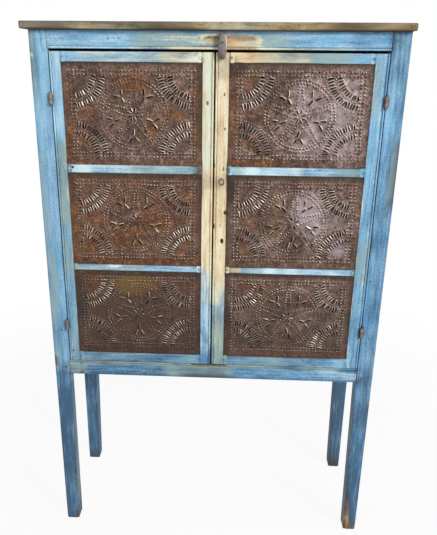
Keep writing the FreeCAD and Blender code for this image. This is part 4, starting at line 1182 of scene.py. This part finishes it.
# Rust, ochre bloom, painted grey sheen (a reflection laid into the colour) and dirt on each
# tin: (x, z, half width, half height, amount), in millimetres on the front. The narrow dirt
# bands along some top edges are dirt with painted shadow of the rail above.
TIN_STAINS_AND_SHEEN = {
    "left_door_upper_tin": {
        "rust": [(-210, 1290, 400, 300, 0.22), (-210, 1366, 52, 20, 0.6), (-320, 1292, 24, 18, 0.5),
                 (-104, 1291, 26, 14, 0.5), (-162, 1258, 22, 22, 0.45), (-338, 1210, 20, 26, 0.4),
                 (-374, 1205, 12, 40, 0.75), (-370, 1310, 14, 70, 0.35), (-44, 1290, 12, 110, 0.5)],
        "dirt": [(-40, 1320, 9, 95, 0.5), (-88, 1215, 16, 18, 0.3)],
        "sheen": [(-260, 1330, 40, 30, 0.2), (-120, 1345, 30, 40, 0.2), (-190, 1195, 120, 22, 0.25)]},
    "left_door_middle_tin": {
        "rust": [(-210, 1010, 400, 300, 0.54), (-236, 962, 34, 26, 0.6), (-165, 1010, 40, 24, 0.4),
                 (-320, 1020, 20, 16, 0.3), (-330, 940, 26, 24, 0.3), (-210, 898, 160, 8, 0.7),
                 (-375, 1000, 12, 60, 0.4)],
        "dirt": [(-42, 1050, 12, 80, 0.35), (-210, 1125, 170, 9, 0.3), (-230, 1088, 60, 12, 0.25),
                 (-210, 1010, 400, 300, 0.06)],
        "sheen": [(-215, 1022, 28, 26, 0.3)]},
    "left_door_lower_tin": {
        "rust": [(-210, 740, 400, 300, 0.6), (-250, 700, 22, 22, 0.35), (-330, 830, 26, 22, 0.4),
                 (-200, 640, 60, 12, 0.3)],
        "ochre": [(-222, 826, 66, 32, 0.85)],
        "dirt": [(-210, 740, 400, 300, 0.2), (-374, 790, 14, 70, 0.4), (-210, 860, 180, 8, 0.5),
                 (-210, 625, 180, 12, 0.3)],
        "sheen": [(-95, 820, 40, 40, 0.12)]},
    "right_door_upper_tin": {
        "sheen": [(250, 1290, 70, 90, 0.46), (345, 1290, 40, 120, 0.44), (214, 1290, 400, 300, 0.1),
                  (220, 1200, 160, 20, 0.2)],
        "rust": [(47, 1290, 12, 110, 0.75), (86, 1370, 22, 20, 0.6), (104, 1295, 26, 20, 0.5),
                 (86, 1216, 20, 22, 0.6), (110, 1172, 70, 10, 0.8), (170, 1212, 26, 14, 0.45),
                 (175, 1330, 26, 16, 0.3), (180, 1275, 26, 20, 0.3)],
        "dirt": [(54, 1402, 24, 18, 0.6)]},
    "right_door_middle_tin": {
        "sheen": [(246, 1062, 40, 44, 0.52), (252, 1000, 40, 56, 0.42), (330, 1010, 50, 90, 0.4),
                  (348, 935, 26, 24, 0.4), (214, 1010, 400, 300, 0.06)],
        "ochre": [(160, 1050, 30, 22, 0.5), (165, 985, 24, 30, 0.5), (88, 935, 20, 26, 0.5),
                  (96, 1095, 24, 18, 0.4)],
        "rust": [(105, 1010, 26, 20, 0.55), (90, 897, 46, 8, 0.5)],
        "dirt": [(46, 1105, 14, 34, 0.8), (44, 1010, 9, 90, 0.3), (215, 1128, 180, 7, 0.3),
                 (368, 970, 9, 24, 0.4)]},
    "right_door_lower_tin": {
        "rust": [(95, 832, 22, 16, 0.7), (146, 770, 18, 50, 0.4), (214, 622, 180, 8, 0.5),
                 (380, 622, 12, 14, 0.6), (214, 740, 400, 300, 0.1)],
        "ochre": [(198, 684, 34, 26, 0.45), (252, 792, 36, 24, 0.35)],
        "sheen": [(330, 755, 60, 60, 0.2), (214, 740, 400, 300, 0.12)],
        "dirt": [(214, 862, 190, 6, 0.3), (44, 700, 8, 90, 0.3)]},
}
# Also in millimetres
TACK_INSET, TACK_EDGE = 19.5, 7.3    # tacks, from a tin's side edges and from the others
SEARCH = 11.5                 # how far from a place marks are looked for
PITCH = 12.0                  # of the sheet's grid
BUCKLED = 60                  # from an edge to where the sheet buckles freely


def pierced_tin(name, seed):
    """Pierced sheet in place of a plain one. It is laid out in millimetres, u across and
    v up from its lower left corner."""
    rng = random.Random(seed)
    low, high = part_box(name)
    width, height = (high.x - low.x) / MM, (high.z - low.z) / MM
    thickness = (high.y - low.y) / MM
    marks = punch_marks(rng, width, height)
    tree = kdtree.KDTree(len(marks))
    for index, mark in enumerate(marks):
        tree.insert((mark.u, mark.v, 0), index)
    tree.balance()

    def closest(u, v):
        """The nearest mark, and the distance to it as a share of its reach."""
        found = [marks[index] for _, index, _ in tree.find_range((u, v, 0), SEARCH)]
        return min(((mark.distance(u, v) / mark.reach, mark) for mark in found),
                   key=lambda pair: pair[0], default=(math.inf, None))

    points, edges = [], []

    def loop(outline):
        start, count = len(points), len(outline)
        points.extend(Vector(p) for p in outline)
        edges.extend((start + k, start + (k + 1) % count) for k in range(count))

    across, upright = round(width / PITCH), round(height / PITCH)
    border = [(width * k / across, 0) for k in range(across)]
    border += [(width, height * k / upright) for k in range(upright)]
    border += [(width - width * k / across, height) for k in range(across)]
    border += [(0, height - height * k / upright) for k in range(upright)]
    loop(border)
    for mark in marks:
        for offset in (mark.reach, 0.6 * mark.reach, mark.hole):
            loop(mark.ring(offset))
    for row in range(1, upright):
        for column in range(1, across):
            u = width * column / across + rng.uniform(-2, 2)
            v = height * row / upright + rng.uniform(-2, 2)
            if closest(u, v)[0] > 1.25:
                points.append(Vector((u, v)))
    verts, _, faces, _, _, _ = geometry.delaunay_2d_cdt(points, edges, [], 0, 1e-4, False)

    front, lips, sides = [], [], []
    wave = Vector((seed * 3.7, seed * 1.3, 0))
    for u, v in verts:
        share, mark = closest(u, v)
        rise, lip, side = 0.0, 0.0, 0.0
        if share < 1:
            slope = min(1.0, (1 - share) / (1 - mark.hole / mark.reach))
            rise = mark.height * (0.5 * slope + 0.5 * slope ** 1.5)
            # strength of the painted highlight and rubbed shine, and which side of the burr faces the
            # light
            lip = slope * mark.shine
            side = mark.facing(u, v)
        free = max(0.0, min(BUCKLED, u, v, width - u, height - v) / BUCKLED - 0.12)
        rise += free * (0.9 * noise.noise(Vector((u, v, 0)) * 0.013 + wave)
                        + 0.35 * noise.noise(Vector((u, v, 0)) * 0.035 + wave))
        front.append((low.x + u * MM, low.y - rise * MM, low.z + v * MM))
        lips.append(lip)
        sides.append(side)

    kept = []
    for face in faces:
        u, v = (sum(verts[k][axis] for k in face) / 3 for axis in range(2))
        mark = closest(u, v)[1]
        if not mark or mark.distance(u, v) >= mark.hole * 0.96:
            kept.append(tuple(face))
    back = [(x, y + thickness * MM, z) for x, y, z in front]
    total = len(front)
    rims = {}
    for face in kept:
        for a, b in zip(face, face[1:] + face[:1]):
            if not rims.pop((b, a), False):
                rims[(a, b)] = True
    skin = kept + [tuple(total + k for k in reversed(face)) for face in kept]
    skin += [(b, a, total + a, total + b) for a, b in rims]
    mesh = bpy.data.meshes.new("pierced_" + name)
    mesh.from_pydata(front + back, [], skin)
    finish_mesh(mesh, TIN, angle=65)
    stain_and_shade_tin(mesh, name, np.array(front + back), np.array(lips + lips), np.array(sides + sides))
    bm = bmesh.new()
    bm.from_mesh(mesh)
    bmesh.ops.delete(bm, geom=[v for v in bm.verts if not v.link_faces], context="VERTS")
    bmesh.ops.recalc_face_normals(bm, faces=bm.faces)
    bm.to_mesh(mesh)
    bm.free()
    sheet = new_object("pierced_" + name, mesh)
    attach(sheet, body_of[name])
    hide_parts(name)


def stain_and_shade_tin(mesh, name, places, lips, sides):
    """Writes the attributes "tin" and "stain" of a pierced sheet, with its painted highlights, painted
    sheen and painted shade.
    """
    low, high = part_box(name)
    x, y, z = places.T
    layers = {layer: np.zeros(len(places)) for layer in ("rust", "ochre", "sheen", "dirt")}
    for layer, ellipses in TIN_STAINS_AND_SHEEN[name].items():
        for *ellipse, amount in ellipses:
            layers[layer] += amount * spot(places, *ellipse)
    # a little dirt everywhere, more towards the bottom as painted shade of the light falling off
    # towards the floor
    layers["dirt"] += 0.1 + 0.42 * np.clip((0.95 - z) / 0.2, 0, 1)
    # dirt along the top edge, with the painted shadow of the rail above
    layers["dirt"] += 0.7 * near(z, high.z - 3 * MM, high.z + MM, 11 * MM)
    # dirt and painted shade along the sides
    for side in (low.x - MM, high.x - 2 * MM):
        layers["dirt"] += 0.4 * near(x, side, side + 3 * MM, 7 * MM)
    layers["rust"] += 0.3 * near(z, low.z - MM, low.z + 4 * MM, 12 * MM)
    for tack_x in (low.x / MM + TACK_INSET, (low.x + high.x) / 2 / MM, high.x / MM - TACK_INSET):
        for tack_z in (low.z / MM + TACK_EDGE, high.z / MM - TACK_EDGE):
            layers["dirt"] += 0.5 * spot(places, tack_x, tack_z, 4, 4)
    write_attribute(mesh, "tin", lips, sides, layers["sheen"])
    write_attribute(mesh, "stain", layers["rust"], layers["ochre"], layers["dirt"])


# ---- Put together --------------------------------------------------------------------

place_camera()
light_studio()
lay_floor()

PAINT = {grain: painted_wood("paint_" + grain, grain, BLUES) for grain in "xyz"}
BUTTON = painted_wood("paint_button", "y", VIOLETS)
PINE = {grain: bare_wood("inner_pine_" + grain, grain) for grain in "xyz"}
TOP = weathered_wood("weathered_top")
TIN = aged_tin()
IRON = old_iron("old_iron", (42, 37, 34), (88, 77, 68), (140, 132, 122), 0.1, 0.5)
HINGE = old_iron("hinge_iron", (54, 46, 40), (122, 110, 96), (172, 164, 150), 0.28, 0.2)

# Each wooden node's grain, finish and how far its arrises are worn
WOOD = {}
for side in ("left", "right"):
    for end in ("front", "rear"):
        WOOD[f"post_{end}_{side}"] = ("z", "case", 1.3)
    WOOD[f"side_panel_{side}"] = ("z", "case", 0.4)
    for level in ("top", "bottom"):
        WOOD[f"rail_{side}_{level}"] = ("y", "case", 0.5)
    for part in ("hinge_stile", "meeting_stile"):
        WOOD[f"{side}_door_{part}"] = ("z", "door", 0.9)
    for part in ("bottom_rail", "lower_mid_rail", "upper_mid_rail", "top_rail"):
        WOOD[f"{side}_door_{part}"] = ("x", "door", 0.7)
    WOOD[f"{side}_door_pegs"] = ("z", "door", 0.3)
for level in ("top", "bottom"):
    WOOD[f"rail_front_{level}"] = ("x", "case", 0.6)
    WOOD[f"rail_rear_{level}"] = ("x", "pine", 0.5)
for place in range(1, 5):
    WOOD[f"back_board_{place}"] = ("z", "pine", 0.8)
for end in ("front", "rear"):
    WOOD[f"top_board_{end}"] = ("x", "top", 1.6)
WOOD["floor_board"] = ("x", "pine", 0.6)
for part, grain, worn in (("shelf", "x", 0.8), ("cleats", "y", 0.5)):
    for level in ("lower", "upper"):
        WOOD[f"{part}_{level}"] = (grain, "pine", worn)
WOOD["case_pegs"] = ("z", "case", 0.3)
WOOD["turn_button"] = ("z", "button", 0.8)
WOOD["inside_button"] = ("z", "pine", 0.8)
FINISH = {"case": (PAINT, paint_case, "blue_paint_on_pine"),
          "door": (PAINT, paint_doors, "blue_paint_on_pine"),
          "button": ({"z": BUTTON}, paint_button, "blue_paint_on_pine"),
          "pine": (PINE, plain_wood, "bare_pine"), "top": ({"x": TOP}, bare_top, "bare_pine")}

for name, (grain, finish, worn) in WOOD.items():
    materials, paint, slot = FINISH[finish]
    board = worn_board(name, grain, materials[grain], worn, paint,
                       END_ROUNDING if finish == "top" else 0.0)

for seed, (door, level) in enumerate([(d, l) for d in ("left", "right")
                                      for l in ("lower", "middle", "upper")]):
    pierced_tin(f"{door}_door_{level}_tin", seed + 1)

for name, node in nodes.items():
    if name in WOOD or name.endswith("_tin"):
        continue
    node.data.materials.clear()
    node.data.materials.append(HINGE if "hinge" in name else IRON)

bpy.context.scene.view_settings.view_transform = "Standard"
